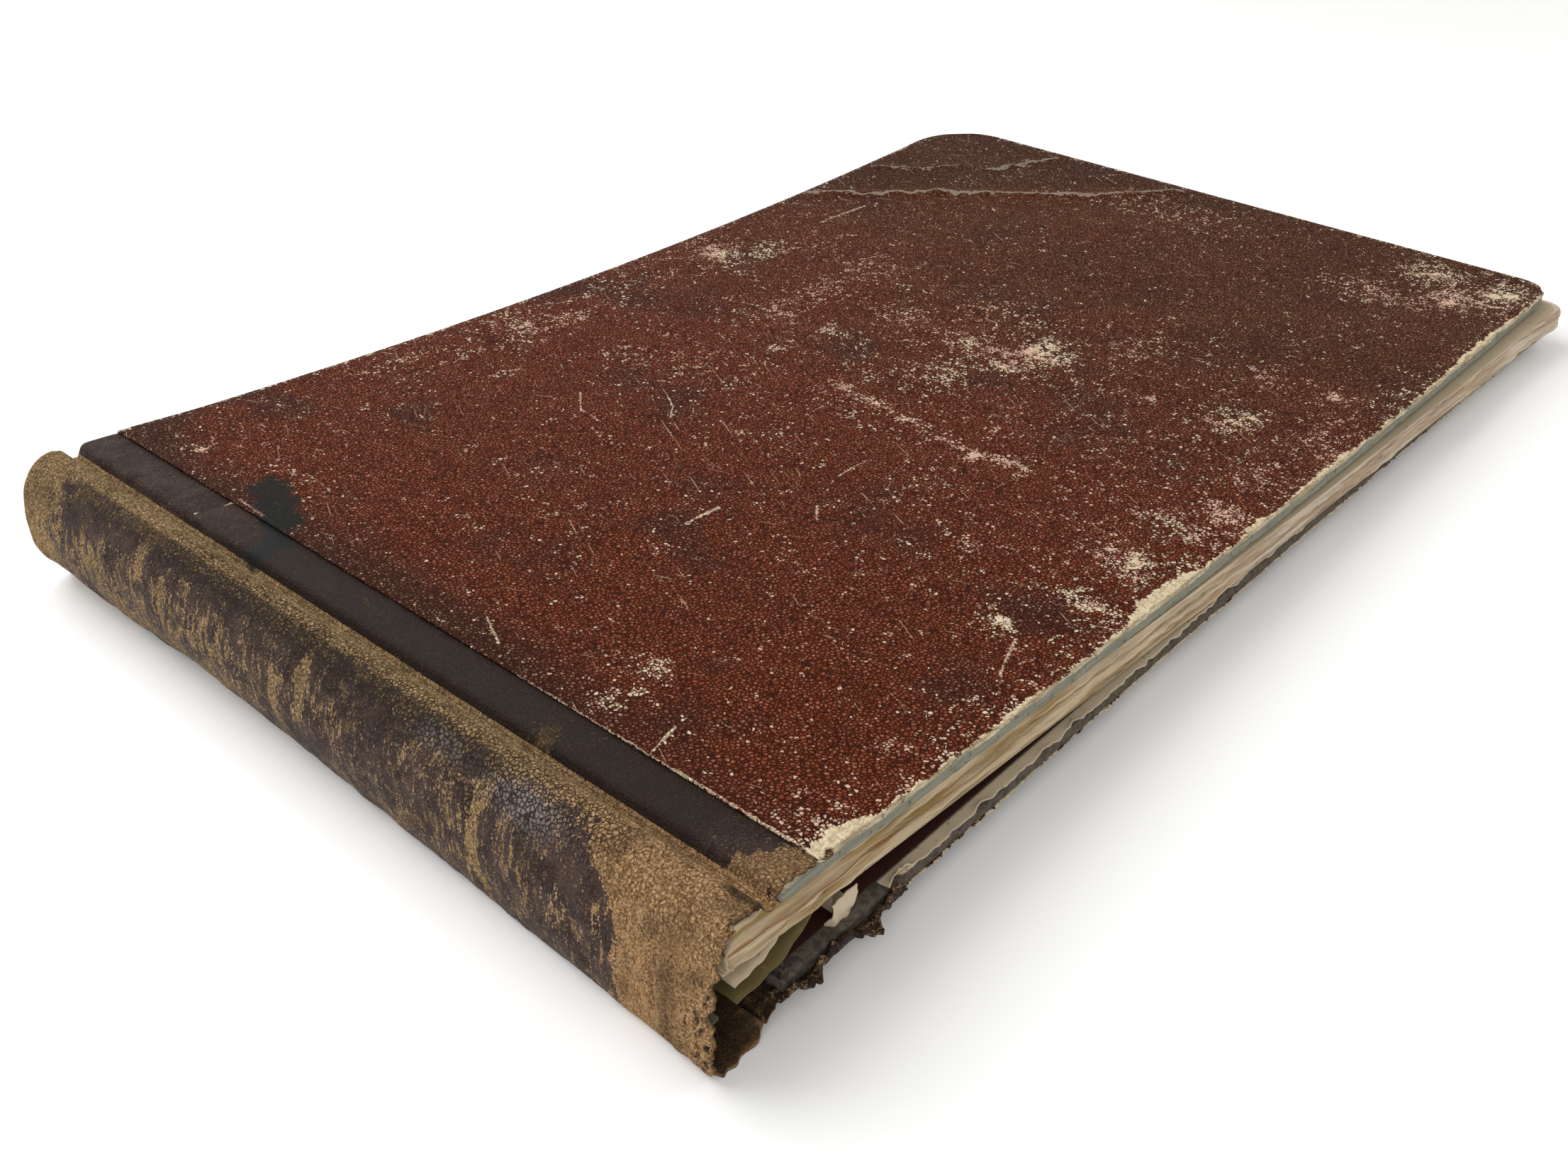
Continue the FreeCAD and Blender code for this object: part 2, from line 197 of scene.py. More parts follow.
def curve_weights(count, places):
    """Weights of the poles of a clamped cubic curve at each place from 0 to 1."""
    inner = np.linspace(0, 1, count - 2)
    knots = np.concatenate([[0.0] * 3, inner, [1.0] * 3])
    places = np.clip(places, 0, 1 - 1e-9)
    basis = np.array([(knots[i] <= places) & (places < knots[i + 1]) for i in range(len(knots) - 1)], float)
    for degree in range(1, 4):
        rows = []
        for i in range(len(knots) - 1 - degree):
            left = knots[i + degree] - knots[i]
            right = knots[i + degree + 1] - knots[i + 1]
            row = np.zeros_like(places)
            if left > 0:
                row = row + (places - knots[i]) / left * basis[i]
            if right > 0:
                row = row + (knots[i + degree + 1] - places) / right * basis[i + 1]
            rows.append(row)
        basis = np.array(rows)
    return basis.T


# Small maths

def smooth(low, high, value):
    t = np.clip((value - low) / (high - low), 0, 1)
    return t * t * (3 - 2 * t)


def bump(distance, reach):
    return np.exp(-(distance / reach) ** 2)


def wave(x, y, scale, seed):
    """Smooth noise between -1 and 1 over arrays of places in millimetres."""
    shape = np.broadcast(x, y).shape
    xs = np.broadcast_to(x, shape).ravel() / scale
    ys = np.broadcast_to(y, shape).ravel() / scale
    values = [noise.noise(Vector((a, b, seed))) for a, b in zip(xs, ys)]
    return np.array(values).reshape(shape) * 1.6


def near_line(x, y, start, end):
    """Distance from places to a line between two points."""
    sx, sy = start
    dx, dy = end[0] - sx, end[1] - sy
    t = np.clip(((x - sx) * dx + (y - sy) * dy) / (dx * dx + dy * dy), 0, 1)
    return np.hypot(x - sx - t * dx, y - sy - t * dy)


# Meshes

def make_mesh(name, points, faces, material, values=None):
    """Mesh object from points in book coordinates in millimetres, with named values on its points."""
    mesh = bpy.data.meshes.new(name)
    places = np.asarray(points, float).reshape(-1, 3) * MM + np.array(CORNER)
    mesh.from_pydata(places.tolist(), [], faces)
    for key, numbers in (values or {}).items():
        layer = mesh.attributes.new(key, "FLOAT", "POINT")
        layer.data.foreach_set("value", np.asarray(numbers, np.float32).ravel())
    mesh.shade_smooth()
    mesh.materials.append(material)
    piece = bpy.data.objects.new(name, mesh)
    bpy.context.collection.objects.link(piece)
    return piece


def grid_faces(rows, columns, start=0, close=False, flip=False):
    """Quads between rows of points, closed round each row if asked."""
    faces = []
    last = columns if close else columns - 1
    for i in range(rows - 1):
        for j in range(last):
            a = start + i * columns + j
            b = start + i * columns + (j + 1) % columns
            face = (a, b, b + columns, a + columns)
            faces.append(face[::-1] if flip else face)
    return faces


def thicken(piece, thickness, offset=-1.0):
    """Gives a sheet its thickness, inwards from its outer face."""
    solid = piece.modifiers.new("thickness", "SOLIDIFY")
    solid.thickness = thickness * MM
    solid.offset = offset
    solid.use_even_offset = False
    bpy.context.view_layer.update()
    graph = bpy.context.evaluated_depsgraph_get()
    mesh = bpy.data.meshes.new_from_object(piece.evaluated_get(graph))
    piece.modifiers.remove(solid)
    piece.data = mesh
    return piece


def paint_inner_shade(piece, count, level):
    """Paints shade on the inner face of a wall, whose points follow the outer ones."""
    layer = piece.data.attributes["grime"].data
    for point in layer[count:]:
        point.value = max(point.value, level)


def paint(mesh, **marks):
    """Store marks that a finish reads on a mesh's points, each an array or one number for all."""
    for key, numbers in marks.items():
        layer = mesh.attributes.new(key, "FLOAT", "POINT")
        spread = np.full(len(mesh.vertices), numbers, np.float32)
        layer.data.foreach_set("value", spread)


def dress(piece, body, slot, *nodes):
    """Puts a piece on its body, in place of the nodes that it stands for."""
    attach(piece, body)
    if nodes:
        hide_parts(*nodes)
    return piece


def outline(x0, x1, y0, y1, tail_radius, head_radius, step):
    """Loop round a plate from its spine-tail corner, with outward directions, as rows of x, y, nx, ny."""
    loop = []

    def run(ax, ay, bx, by, nx, ny):
        count = max(2, round(math.hypot(bx - ax, by - ay) / step))
        for t in np.arange(count) / count:
            loop.append((ax + (bx - ax) * t, ay + (by - ay) * t, nx, ny))

    def turn(cx, cy, radius, start):
        count = max(6, round(radius * math.pi / 2 / step * 2))
        for t in np.arange(count) / count:
            angle = math.radians(start + 90 * t)
            nx, ny = math.cos(angle), math.sin(angle)
            loop.append((cx + radius * nx, cy + radius * ny, nx, ny))

    run(x0, y0, x1 - tail_radius, y0, 0, -1)
    turn(x1 - tail_radius, y0 + tail_radius, tail_radius, -90)
    run(x1, y0 + tail_radius, x1, y1 - head_radius, 1, 0)
    turn(x1 - head_radius, y1 - head_radius, head_radius, 0)
    run(x1 - head_radius, y1, x0, y1, 0, 1)
    run(x0, y1, x0, y0, -1, 0)
    return np.array(loop)


def plate(name, loop, rings, height, material, centre, inner=14, values=None):
    """Closed plate. Each ring is (inset, share of height); both ends close over the middle."""
    count = len(loop)
    points = []
    x, y, nx, ny = loop.T
    rows = 0

    def add(px, py, share):
        points.append(np.stack([px, py, height(px, py, share)], 1))

    shares = np.linspace(0, 1, inner + 1)[1:]
    low_x, low_y = x - nx * rings[0][0], y - ny * rings[0][0]
    for share in shares[:-1]:
        add(centre[0] + (low_x - centre[0]) * share, centre[1] + (low_y - centre[1]) * share, rings[0][1])
    for inset, share in rings:
        add(x - nx * inset, y - ny * inset, share)
    high_x, high_y = x - nx * rings[-1][0], y - ny * rings[-1][0]
    for share in shares[:-1][::-1]:
        add(centre[0] + (high_x - centre[0]) * share, centre[1] + (high_y - centre[1]) * share, rings[-1][1])
    rows = len(points)
    faces = grid_faces(rows, count, close=True)
    ends = np.array([[*centre, 0.0], [*centre, 0.0]])
    ends[:, 2] = [height(np.array(centre[0]), np.array(centre[1]), rings[k][1]) for k in (0, -1)]
    all_points = np.concatenate([np.concatenate(points), ends])
    first, last = rows * count, rows * count + 1
    for j in range(count):
        k = (j + 1) % count
        faces.append((first, k, j))
        faces.append((last, (rows - 1) * count + j, (rows - 1) * count + k))
    return make_mesh(name, all_points, faces, material, values)


# Materials

class Finish:
    """Builds one material's nodes, over places in the book's millimetres."""

    def __init__(self, name):
        self.material = bpy.data.materials.new(name)
        self.material.use_nodes = True
        self.tree = self.material.node_tree
        self.shader = self.tree.nodes["Principled BSDF"]
        spot = self.add("ShaderNodeTexCoord").outputs["Object"]
        shift = [-c / MM for c in CORNER]
        settings = {"Vector": spot, "Location": shift, "Scale": (1 / MM,) * 3}
        self.place = self.add("ShaderNodeMapping", settings).outputs[0]

    def add(self, kind, values=None, **settings):
        node = self.tree.nodes.new(kind)
        for key, value in settings.items():
            setattr(node, key, value)
        for key, value in (values or {}).items():
            self.set(node.inputs[key], value)
        return node

    def set(self, socket, value):
        if isinstance(value, bpy.types.NodeSocket):
            self.tree.links.new(value, socket)
        else:
            socket.default_value = value

    def math(self, operation, a, b=0.0, clamp=False):
        node = self.add("ShaderNodeMath", {0: a, 1: b}, operation=operation)
        node.use_clamp = clamp
        return node.outputs[0]

    def times(self, a, b):
        return self.math("MULTIPLY", a, b)

    def centred(self, value, swing):
        """A noise's departure from its middle, times a swing."""
        return self.times(self.math("SUBTRACT", value, 0.5), swing)

    def total(self, *values):
        result = values[0]
        for value in values[1:]:
            result = self.math("ADD", result, value)
        return result

    def span(self, value, low, high):
        """0 below low and 1 above high, smoothly."""
        node = self.add("ShaderNodeMapRange", {"Value": value, "From Min": low, "From Max": high})
        node.interpolation_type = "SMOOTHSTEP"
        return node.outputs["Result"]

    def mix(self, share, a, b):
        node = self.add("ShaderNodeMix", data_type="RGBA")
        for index, value in ((0, share), (6, a), (7, b)):
            self.set(node.inputs[index], value)
        return node.outputs[2]

    def blend(self, share, a, b):
        return self.add("ShaderNodeMix", {0: share, 2: a, 3: b}, data_type="FLOAT").outputs[0]

    def stretched(self, x, y, z, turn=0.0):
        """Places turned about z and divided by a length along each axis."""
        values = {"Vector": self.place, "Rotation": (0, 0, math.radians(turn)), "Scale": (x, y, z)}
        return self.add("ShaderNodeMapping", values, vector_type="TEXTURE").outputs[0]

    def noise(self, size, detail=3.0, rough=0.55, bend=0.0, vector=None):
        values = {"Vector": vector or self.place, "Scale": 1.0 if vector else 1 / size}
        values.update({"Detail": detail, "Roughness": rough, "Distortion": bend})
        return self.add("ShaderNodeTexNoise", values).outputs["Fac"]

    def cells(self, size, feature, output):
        values = {"Vector": self.place, "Scale": 1 / size}
        return self.add("ShaderNodeTexVoronoi", values, feature=feature).outputs[output]

    def value(self, name):
        return self.add("ShaderNodeAttribute", attribute_name=name).outputs["Fac"]

    def axes(self):
        return self.add("ShaderNodeSeparateXYZ", {0: self.place}).outputs

    def lines(self, marks, ragged):
        """Largest of some lines, each as start, end, half width and strength."""
        flat = self.add("ShaderNodeVectorMath", {0: self.place, 1: (1, 1, 0)}, operation="MULTIPLY")
        flat = flat.outputs[0]
        sway = self.add("ShaderNodeCombineXYZ", {0: ragged, 1: ragged}).outputs[0]
        flat = self.add("ShaderNodeVectorMath", {0: flat, 1: sway}, operation="ADD").outputs[0]
        best = None
        for start, end, half, strength in marks:
            along = (end[0] - start[0], end[1] - start[1], 0)
            values = {"Place": flat, "Start": (*start, 0), "Along": along, "Half width": half}
            values["Per length"] = 1 / (along[0] ** 2 + along[1] ** 2)
            mark = self.add("ShaderNodeGroup", node_tree=line_tree())
            for key, value in values.items():
                self.set(mark.inputs[key], value)
            line = self.times(mark.outputs[0], strength)
            best = line if best is None else self.math("MAXIMUM", best, line)
        return best

    def relief(self, *layers):
        """Bumps from pairs of a height and its depth in millimetres."""
        normal = None
        for height, depth in layers:
            node = self.add("ShaderNodeBump", {"Height": height, "Distance": depth * MM})
            if normal:
                self.set(node.inputs["Normal"], normal)
            normal = node.outputs[0]
        self.set(self.shader.inputs["Normal"], normal)

    def done(self, base, rough, gloss):
        self.set(self.shader.inputs["Base Color"], base)
        self.set(self.shader.inputs["Roughness"], rough)
        self.shader.inputs["Specular IOR Level"].default_value = gloss
        return self.material


def line_tree():
    """Node group: 1 on a straight line between two places, falling to 0 at half its width."""
    tree = bpy.data.node_groups.get("line")
    if tree:
        return tree
    tree = bpy.data.node_groups.new("line", "ShaderNodeTree")
    line_inputs = (
        ("Place", "Vector"), ("Start", "Vector"), ("Along", "Vector"),
        ("Per length", "Float"), ("Half width", "Float"),
    )
    for name, kind in line_inputs:
        tree.interface.new_socket(name=name, in_out="INPUT", socket_type="NodeSocket" + kind)
    tree.interface.new_socket(name="Mark", in_out="OUTPUT", socket_type="NodeSocketFloat")
    source = tree.nodes.new("NodeGroupInput").outputs
    sink = tree.nodes.new("NodeGroupOutput").inputs

    def step(kind, operation, output, *values):
        node = tree.nodes.new(kind)
        node.operation = operation
        for key, value in values:
            if isinstance(value, bpy.types.NodeSocket):
                tree.links.new(value, node.inputs[key])
            else:
                node.inputs[key].default_value = value
        return node, node.outputs[output]

    vector, number = "ShaderNodeVectorMath", "ShaderNodeMath"
    away = step(vector, "SUBTRACT", 0, (0, source["Place"]), (1, source["Start"]))[1]
    dot = step(vector, "DOT_PRODUCT", 1, (0, away), (1, source["Along"]))[1]
    node, share = step(number, "MULTIPLY", 0, (0, dot), (1, source["Per length"]))
    node.use_clamp = True
    foot = step(vector, "SCALE", 0, (0, source["Along"]), (3, share))[1]
    gap = step(vector, "SUBTRACT", 0, (0, away), (1, foot))[1]
    gap = step(vector, "LENGTH", 1, (0, gap))[1]
    ratio = step(number, "DIVIDE", 0, (0, gap), (1, source["Half width"]))[1]
    node, mark = step(number, "SUBTRACT", 0, (0, 1.0), (1, ratio))
    node.use_clamp = True
    tree.links.new(mark, sink["Mark"])
    return tree


# Marks of the upper cloth as start, end, half width and strength
SCRATCHES = (
    ((108, 168), (101, 160), 0.6, 0.8),
    ((101, 160), (99.5, 151), 0.6, 0.9),
    ((123, 150), (119, 144), 0.5, 0.8),
    ((119, 144), (114, 140), 0.5, 0.8),
    ((77, 98), (88, 98), 0.9, 0.8),
    ((19, 99), (14, 89), 0.8, 0.8),
    ((120, 88), (131, 88), 0.5, 0.8),
    ((131, 95), (129, 82), 0.5, 0.6),
    ((105, 82), (100, 78), 0.9, 0.8),
    ((9, 41), (19, 44), 0.8, 0.8),
    ((77, 10), (90, 15), 0.8, 0.9),
    ((26, 184), (30, 177), 0.6, 0.7),
    ((30, 177), (29, 168), 0.5, 0.7),
    ((251, 205), (272, 203), 1.1, 0.7),
    ((9.7, 1), (9.6, 34), 0.8, 1.0),
    ((9.6, 34), (9.4, 78), 0.5, 0.8),
    ((10.4, 164), (10.9, 177), 0.6, 1.0),
)
SCRAPE = (
    ((160, 123), (158, 107), 4.2, 0.46),
    ((158, 107), (154, 84), 4.0, 0.44),
    ((154, 84), (152, 70), 4.4, 0.46),
    ((152, 70), (155, 58), 5.8, 0.68),
)
FOLDS = (
    ((266, 230), (278, 214), 1.9, 1.0),
    ((278, 214), (298, 191), 1.9, 1.0),
    ((298, 191), (325, 153), 1.9, 1.0),
    ((325, 153), (351, 126), 1.9, 0.9),
    ((303, 225), (312, 210), 1.3, 0.7),
    ((312, 210), (323, 200), 1.3, 0.6),
    ((326, 190), (350, 177), 2.4, 0.7),
)


def cloth_finish(name="pebbled_cloth", marked=True):
    """Red-brown pebble-grained cloth, soiled by the leather and rubbed to a pink and cream backing, with
    painted highlights on the pebble tops and painted shade in the valleys between them.
    """
    f = Finish(name)
    pitch = sizes().pebble
    x = f.axes()[0]
    edge = f.cells(pitch, "DISTANCE_TO_EDGE", "Distance")
    luck = f.cells(pitch, "F1", "Color")
    fine = f.noise(1.0, 3.0, 0.65)
    cluster = f.noise(3.6, 5.0, 0.72, 0.6)
    broad = f.noise(30.0, 3.0, 0.6)
    pebble = f.span(edge, 0.04, 0.20)
    pebble_highlight = f.times(f.span(edge, 0.16, 0.42), f.span(fine, 0.38, 0.60))
    base = f.mix(f.total(f.span(x, 130, 300), f.centred(broad, 1.2)), colour("cloth"), colour("cloth_dull"))
    base = f.mix(f.span(broad, 0.52, 0.74), base, (0.060, 0.019, 0.012, 1))
    base = f.mix(f.value("soil"), base, colour("cloth_dark"))
    # Painted highlight on the pebble tops
    base = f.mix(f.times(pebble_highlight, 0.80), base, colour("pebble_highlight"))
    # Painted shade in the valleys between the pebbles
    base = f.mix(pebble, colour("pebble_shade"), base)
    load = f.total(f.value("wear"), f.centred(cluster, 2.3), f.centred(fine, 0.8))
    if marked:
        ragged = f.centred(fine, 2.6)
        load = f.math("ADD", load, f.lines(SCRAPE, ragged))
    dots = f.span(f.total(load, f.centred(luck, 0.9)), 0.40, 0.54)
    dots = f.times(dots, f.span(edge, 0.06, 0.20))
    full = f.span(load, 0.66, 0.86)
    worn = f.math("MAXIMUM", f.times(dots, 0.85), full)
    hair = f.span(f.noise(1.0, 1.0, 0.5, 0.0, f.stretched(16.0, 0.5, 16.0, 62)), 0.745, 0.80)
    across = f.noise(1.0, 1.0, 0.5, 0.0, f.stretched(0.5, 11.0, 11.0, 20))
    hair = f.math("MAXIMUM", hair, f.span(across, 0.75, 0.80))
    worn = f.math("MAXIMUM", worn, f.times(hair, 0.5))
    pink = f.mix(f.span(f.total(broad, f.centred(fine, 0.5)), 0.40, 0.62), colour("scuff"), colour("backing"))
    if marked:
        line = f.total(f.lines(SCRATCHES, ragged), f.centred(fine, 1.5), f.centred(cluster, 1.2))
        line = f.times(f.span(line, 0.42, 0.66), f.blend(pebble, 0.35, 0.9))
        worn = f.math("MAXIMUM", worn, line)
    base = f.mix(worn, base, pink)
    if marked:
        sway = f.centred(f.noise(9.0, 3.0, 0.6), 9.0)
        fold = f.total(f.lines(FOLDS, sway), f.centred(fine, 1.0), f.centred(cluster, 1.1))
        base = f.mix(f.times(f.span(fold, 0.36, 0.62), 0.85), base, colour("crease"))
    fray = f.total(f.value("bare"), f.centred(cluster, 1.9), f.centred(fine, 1.5))
    fuzz = f.mix(f.span(fine, 0.34, 0.62), (0.42, 0.33, 0.20, 1), colour("backing"))
    base = f.mix(f.span(fray, 0.46, 0.60), base, fuzz)
    base = f.mix(f.value("ink"), base, colour("ink"))
    f.relief((pebble, 0.12), (fine, 0.07))
    return f.done(base, f.blend(worn, 0.55, 0.9), 0.03)


def leather_finish(name="binding_leather"):
    """Dark purple-brown leather, rubbed to tan suede where the mesh says so, with painted shade and a painted
    highlight where the mesh marks them.
    """
    f = Finish(name)
    y = f.axes()[1]
    edge = f.cells(0.95, "DISTANCE_TO_EDGE", "Distance")
    fine = f.noise(0.5, 4.0, 0.72)
    streak = f.noise(1.0, 4.0, 0.68, 0.3, f.stretched(2.0, 1.1, 5.0))
    cloud = f.noise(6.0, 4.0, 0.65, 0.6)
    load = f.total(f.value("rub"), f.centred(streak, 2.1), f.centred(fine, 1.6), f.centred(cloud, 1.0))
    worn = f.span(load, 0.40, 0.62)
    skin = f.mix(f.span(cloud, 0.36, 0.60), colour("hide"), (0.056, 0.033, 0.027, 1))
    skin = f.mix(f.times(f.span(fine, 0.50, 0.66), 0.6), skin, (0.16, 0.112, 0.080, 1))
    tail = f.span(f.total(y, f.centred(cloud, 26.0)), 62.0, 26.0)
    tan = f.mix(tail, colour("suede"), colour("torn"))
    tan = f.mix(f.times(f.span(fine, 0.48, 0.66), 0.8), tan, (0.52, 0.38, 0.21, 1))
    deep = f.mix(tail, (0.095, 0.060, 0.027, 1), (0.125, 0.068, 0.030, 1))
    suede = f.mix(f.span(f.total(fine, f.centred(streak, 0.5)), 0.38, 0.56), deep, tan)
    suede = f.mix(f.times(f.span(cloud, 0.54, 0.70), 0.5), suede, deep)
    base = f.mix(worn, skin, suede)
    net = f.times(f.value("net"), f.math("SUBTRACT", 1.0, f.span(edge, 0.06, 0.20)))
    net = f.times(net, f.span(streak, 0.34, 0.50))
    base = f.mix(net, base, (0.014, 0.009, 0.007, 1))
    # Grime and painted shade: the marked places are mixed toward near-black
    grime = f.math("MULTIPLY", f.value("grime"), f.span(f.total(cloud, f.centred(fine, 0.9)), 0.26, 0.48))
    base = f.mix(grime, base, (0.012, 0.008, 0.006, 1))
    # Painted highlight: the marked patches are mixed toward pale grey, with lower roughness there
    pale = f.times(f.value("painted_highlight"), f.span(f.total(edge, f.centred(fine, 0.4)), 0.05, 0.22))
    base = f.mix(f.times(pale, 0.62), base, (0.27, 0.245, 0.25, 1))
    base = f.mix(f.value("ink"), base, colour("ink"))
    rough = f.blend(worn, f.blend(f.value("painted_highlight"), 0.50, 0.30), 0.9)
    f.relief((f.span(edge, 0.0, 0.2), 0.07), (fine, 0.14), (streak, 0.25))
    return f.done(base, rough, 0.06)


def board_finish():
    """Grey millboard with a cream worn rim and layered edges."""
    f = Finish("millboard")
    layers = f.noise(1.0, 4.0, 0.65, 0.3, f.stretched(14.0, 14.0, 0.6))
    spots = f.noise(2.0, 4.0, 0.7, 0.5)
    grey = f.mix(f.span(layers, 0.35, 0.65), colour("board"), (0.27, 0.26, 0.19, 1))
    dirt = f.mix(f.span(spots, 0.4, 0.6), (0.034, 0.020, 0.015, 1), (0.105, 0.080, 0.062, 1))
    grey = f.mix(f.value("soil"), grey, dirt)
    fray = f.total(f.value("rim"), f.centred(spots, 1.2))
    cream = f.mix(f.span(layers, 0.4, 0.6), colour("backing"), (0.40, 0.32, 0.19, 1))
    base = f.mix(f.span(fray, 0.42, 0.60), grey, cream)
    base = f.mix(f.times(f.span(spots, 0.56, 0.66), 0.7), base, (0.055, 0.045, 0.032, 1))
    f.relief((layers, 0.3), (spots, 0.25))
    return f.done(base, 0.9, 0.12)


def leaf_finish():
    """Leaf edges: many thin ivory layers, some browned, with a rusty line and whiter toward the fore-edge."""
    f = Finish("leaf_edges")
    x, y = f.axes()[:2]
    layer = f.total(f.value("layer"), f.centred(f.noise(26.0, 2.0), 0.12))

    def layered(along, across):
        """Places that change slowly along the leaves and fast from leaf to leaf."""
        parts = {0: f.times(x, along), 1: f.times(y, along), 2: f.times(layer, across)}
        return f.add("ShaderNodeCombineXYZ", parts).outputs[0]

    lines = f.noise(1.0, 5.0, 0.72, 0.0, layered(0.010, 24.0))
    broad = f.noise(1.0, 3.0, 0.6, 0.2, layered(0.016, 4.5))
    far = f.span(x, 60.0, 210.0)
    ivory = f.mix(far, colour("page"), colour("page_pale"))
    ochre = f.mix(far, colour("page_old"), (0.50, 0.36, 0.24, 1))
    base = f.mix(f.span(broad, 0.42, 0.60), ivory, ochre)
    base = f.mix(f.times(f.span(lines, 0.55, 0.68), 0.8), base, (0.085, 0.055, 0.028, 1))
    base = f.mix(f.times(f.span(lines, 0.44, 0.34), 0.5), base, (0.76, 0.69, 0.56, 1))
    base = f.mix(f.times(f.value("rust"), f.span(lines, 0.35, 0.6)), base, (0.20, 0.060, 0.022, 1))
    f.relief((lines, 0.3))
    return f.done(base, 0.9, 0.12)


def paper_finish(name, tone, fox):
    """Toned paper with foxing."""
    f = Finish(name)
    spots = f.times(f.span(f.noise(3.0, 4.0, 0.7), 0.60, 0.70), 0.6)
    base = f.mix(f.noise(30.0, 3.0), tone, tuple(0.7 * c for c in tone[:3]) + (1,))
    base = f.mix(spots, base, fox)
    f.relief((f.noise(0.6, 2.0), 0.05))
    return f.done(base, 0.9, 0.12)


def linen_finish():
    """Woven linen tape and thread."""
    f = Finish("sewing_linen")
    weave = f.add("ShaderNodeTexChecker", {"Vector": f.place, "Scale": 2.0}).outputs["Fac"]
    base = f.mix(f.times(weave, 0.4), colour("linen"), (0.33, 0.28, 0.19, 1))
    f.relief((weave, 0.1))
    return f.done(base, 0.95, 0.1)


MATERIALS = {}


def material(name):
    """A finish of the book, made when it is first asked for."""
    rust = (0.26, 0.15, 0.07, 1)
    makers = {
        "cloth": cloth_finish,
        "cloth_under": lambda: cloth_finish("pebbled_cloth_under", False),
        "leather": leather_finish,
        "board": board_finish,
        "leaves": leaf_finish,
        "endpaper": lambda: paper_finish("endpaper", (0.50, 0.41, 0.28, 1), rust),
        # The dark lining paper is painted shade for the gap under the leaves
        "shade_lining": lambda: paper_finish("lining_paper", colour("shade_lining"), (0.012, 0.006, 0.005, 1)),
        "torn_paper": lambda: paper_finish("torn_paper", (0.62, 0.51, 0.36, 1), (0.10, 0.06, 0.035, 1)),
        "old_leaf": lambda: paper_finish("old_leaf", (0.15, 0.115, 0.048, 1), rust),
        "linen": linen_finish,
    }
    if name not in MATERIALS:
        MATERIALS[name] = makers[name]()
    return MATERIALS[name]


# Scuffs of the upper cloth as middle, reach along x and y, and strength
SCUFFS = (
    (208, 213, 8, 10, 0.72),
    (219, 202, 9, 6, 0.60),
    (202, 196, 3, 9, 0.36),
    (126, 213, 9, 12, 0.50),
    (142, 208, 10, 5, 0.50),
    (107, 212, 8, 5, 0.36),
    (19, 206, 4, 2, 0.70),
    (88, 218, 13, 3, 0.45),
    (104, 191, 4, 3, 0.52),
    (28, 182, 2, 6, 0.40),
    (134, 178, 7, 9, 0.30),
    (142, 160, 8, 9, 0.36),
    (142, 142, 8, 4, 0.38),
    (167, 150, 5, 2, 0.62),
    (186, 147, 4, 5, 0.60),
    (188, 168, 11, 10, 0.42),
    (207, 168, 12, 9, 0.40),
    (231, 166, 10, 12, 0.36),
    (234, 192, 8, 8, 0.30),
    (208, 136, 6, 11, 0.45),
    (206, 110, 7, 9, 0.60),
    (212, 92, 13, 9, 0.72),
    (198, 95, 6, 6, 0.64),
    (184, 104, 14, 10, 0.42),
    (171, 118, 7, 7, 0.40),
    (228, 110, 10, 16, 0.34),
    (231, 73, 12, 6, 0.44),
    (207, 72, 4, 9, 0.36),
    (133, 71, 10, 7, 0.38),
    (170, 75, 8, 9, 0.28),
    (18, 59, 6, 2.5, 0.75),
    (30, 61, 4, 5, 0.64),
    (115, 46, 3, 4, 0.50),
    (210, 54, 2, 2, 0.75),
    (93, 21, 4, 4, 0.78),
    (112, 12, 4, 11, 0.66),
    (133, 14, 8, 9, 0.72),
    (154, 14, 7, 12, 0.54),
    (168, 8, 6, 8, 0.70),
    (190, 13, 12, 9, 0.44),
    (214, 30, 9, 8, 0.62),
    (243, 18, 5, 5, 0.66),
    (224, 9, 22, 7, 0.42),
    (245, 38, 8, 9, 0.32),
    (316, 38, 8, 14, 0.50),
    (327, 20, 11, 9, 0.74),
    (340, 32, 8, 10, 0.72),
    (338, 9, 14, 8, 0.76),
    (332, 116, 11, 24, 0.28),
    (14, 5, 10, 7, 0.52),
    (165, 30, 60, 30, 0.17),
    (60, 6, 70, 8, 0.20),
    (175, 110, 55, 60, 0.13),
    (150, 214, 70, 14, 0.20),
)
SPOTS = ((16, 20, 3.4), (70, 26, 0.7), (126, 32, 3.4), (168, 12, 1.6), (205, 44, 0.9), (300, 60, 1.2))
# Ink stain as blots with their middle and radius
INK = (
    ((19, 177), 5.5), ((16, 170), 6.0), ((12, 162), 6.0),
    ((6, 155), 4.2), ((0, 154), 3.6), ((21, 180), 3.5),
)


def ink_at(x, y):
    """Share of the ink stain at places on the upper cover."""
    edge = wave(x, y, 3.0, 8.0) * 0.9
    spots = [smooth(reach, reach - 1.3, np.hypot(x - cx, y - cy) + edge) for (cx, cy), reach in INK]
    return 0.93 * np.clip(np.max(spots, axis=0), 0, 1)


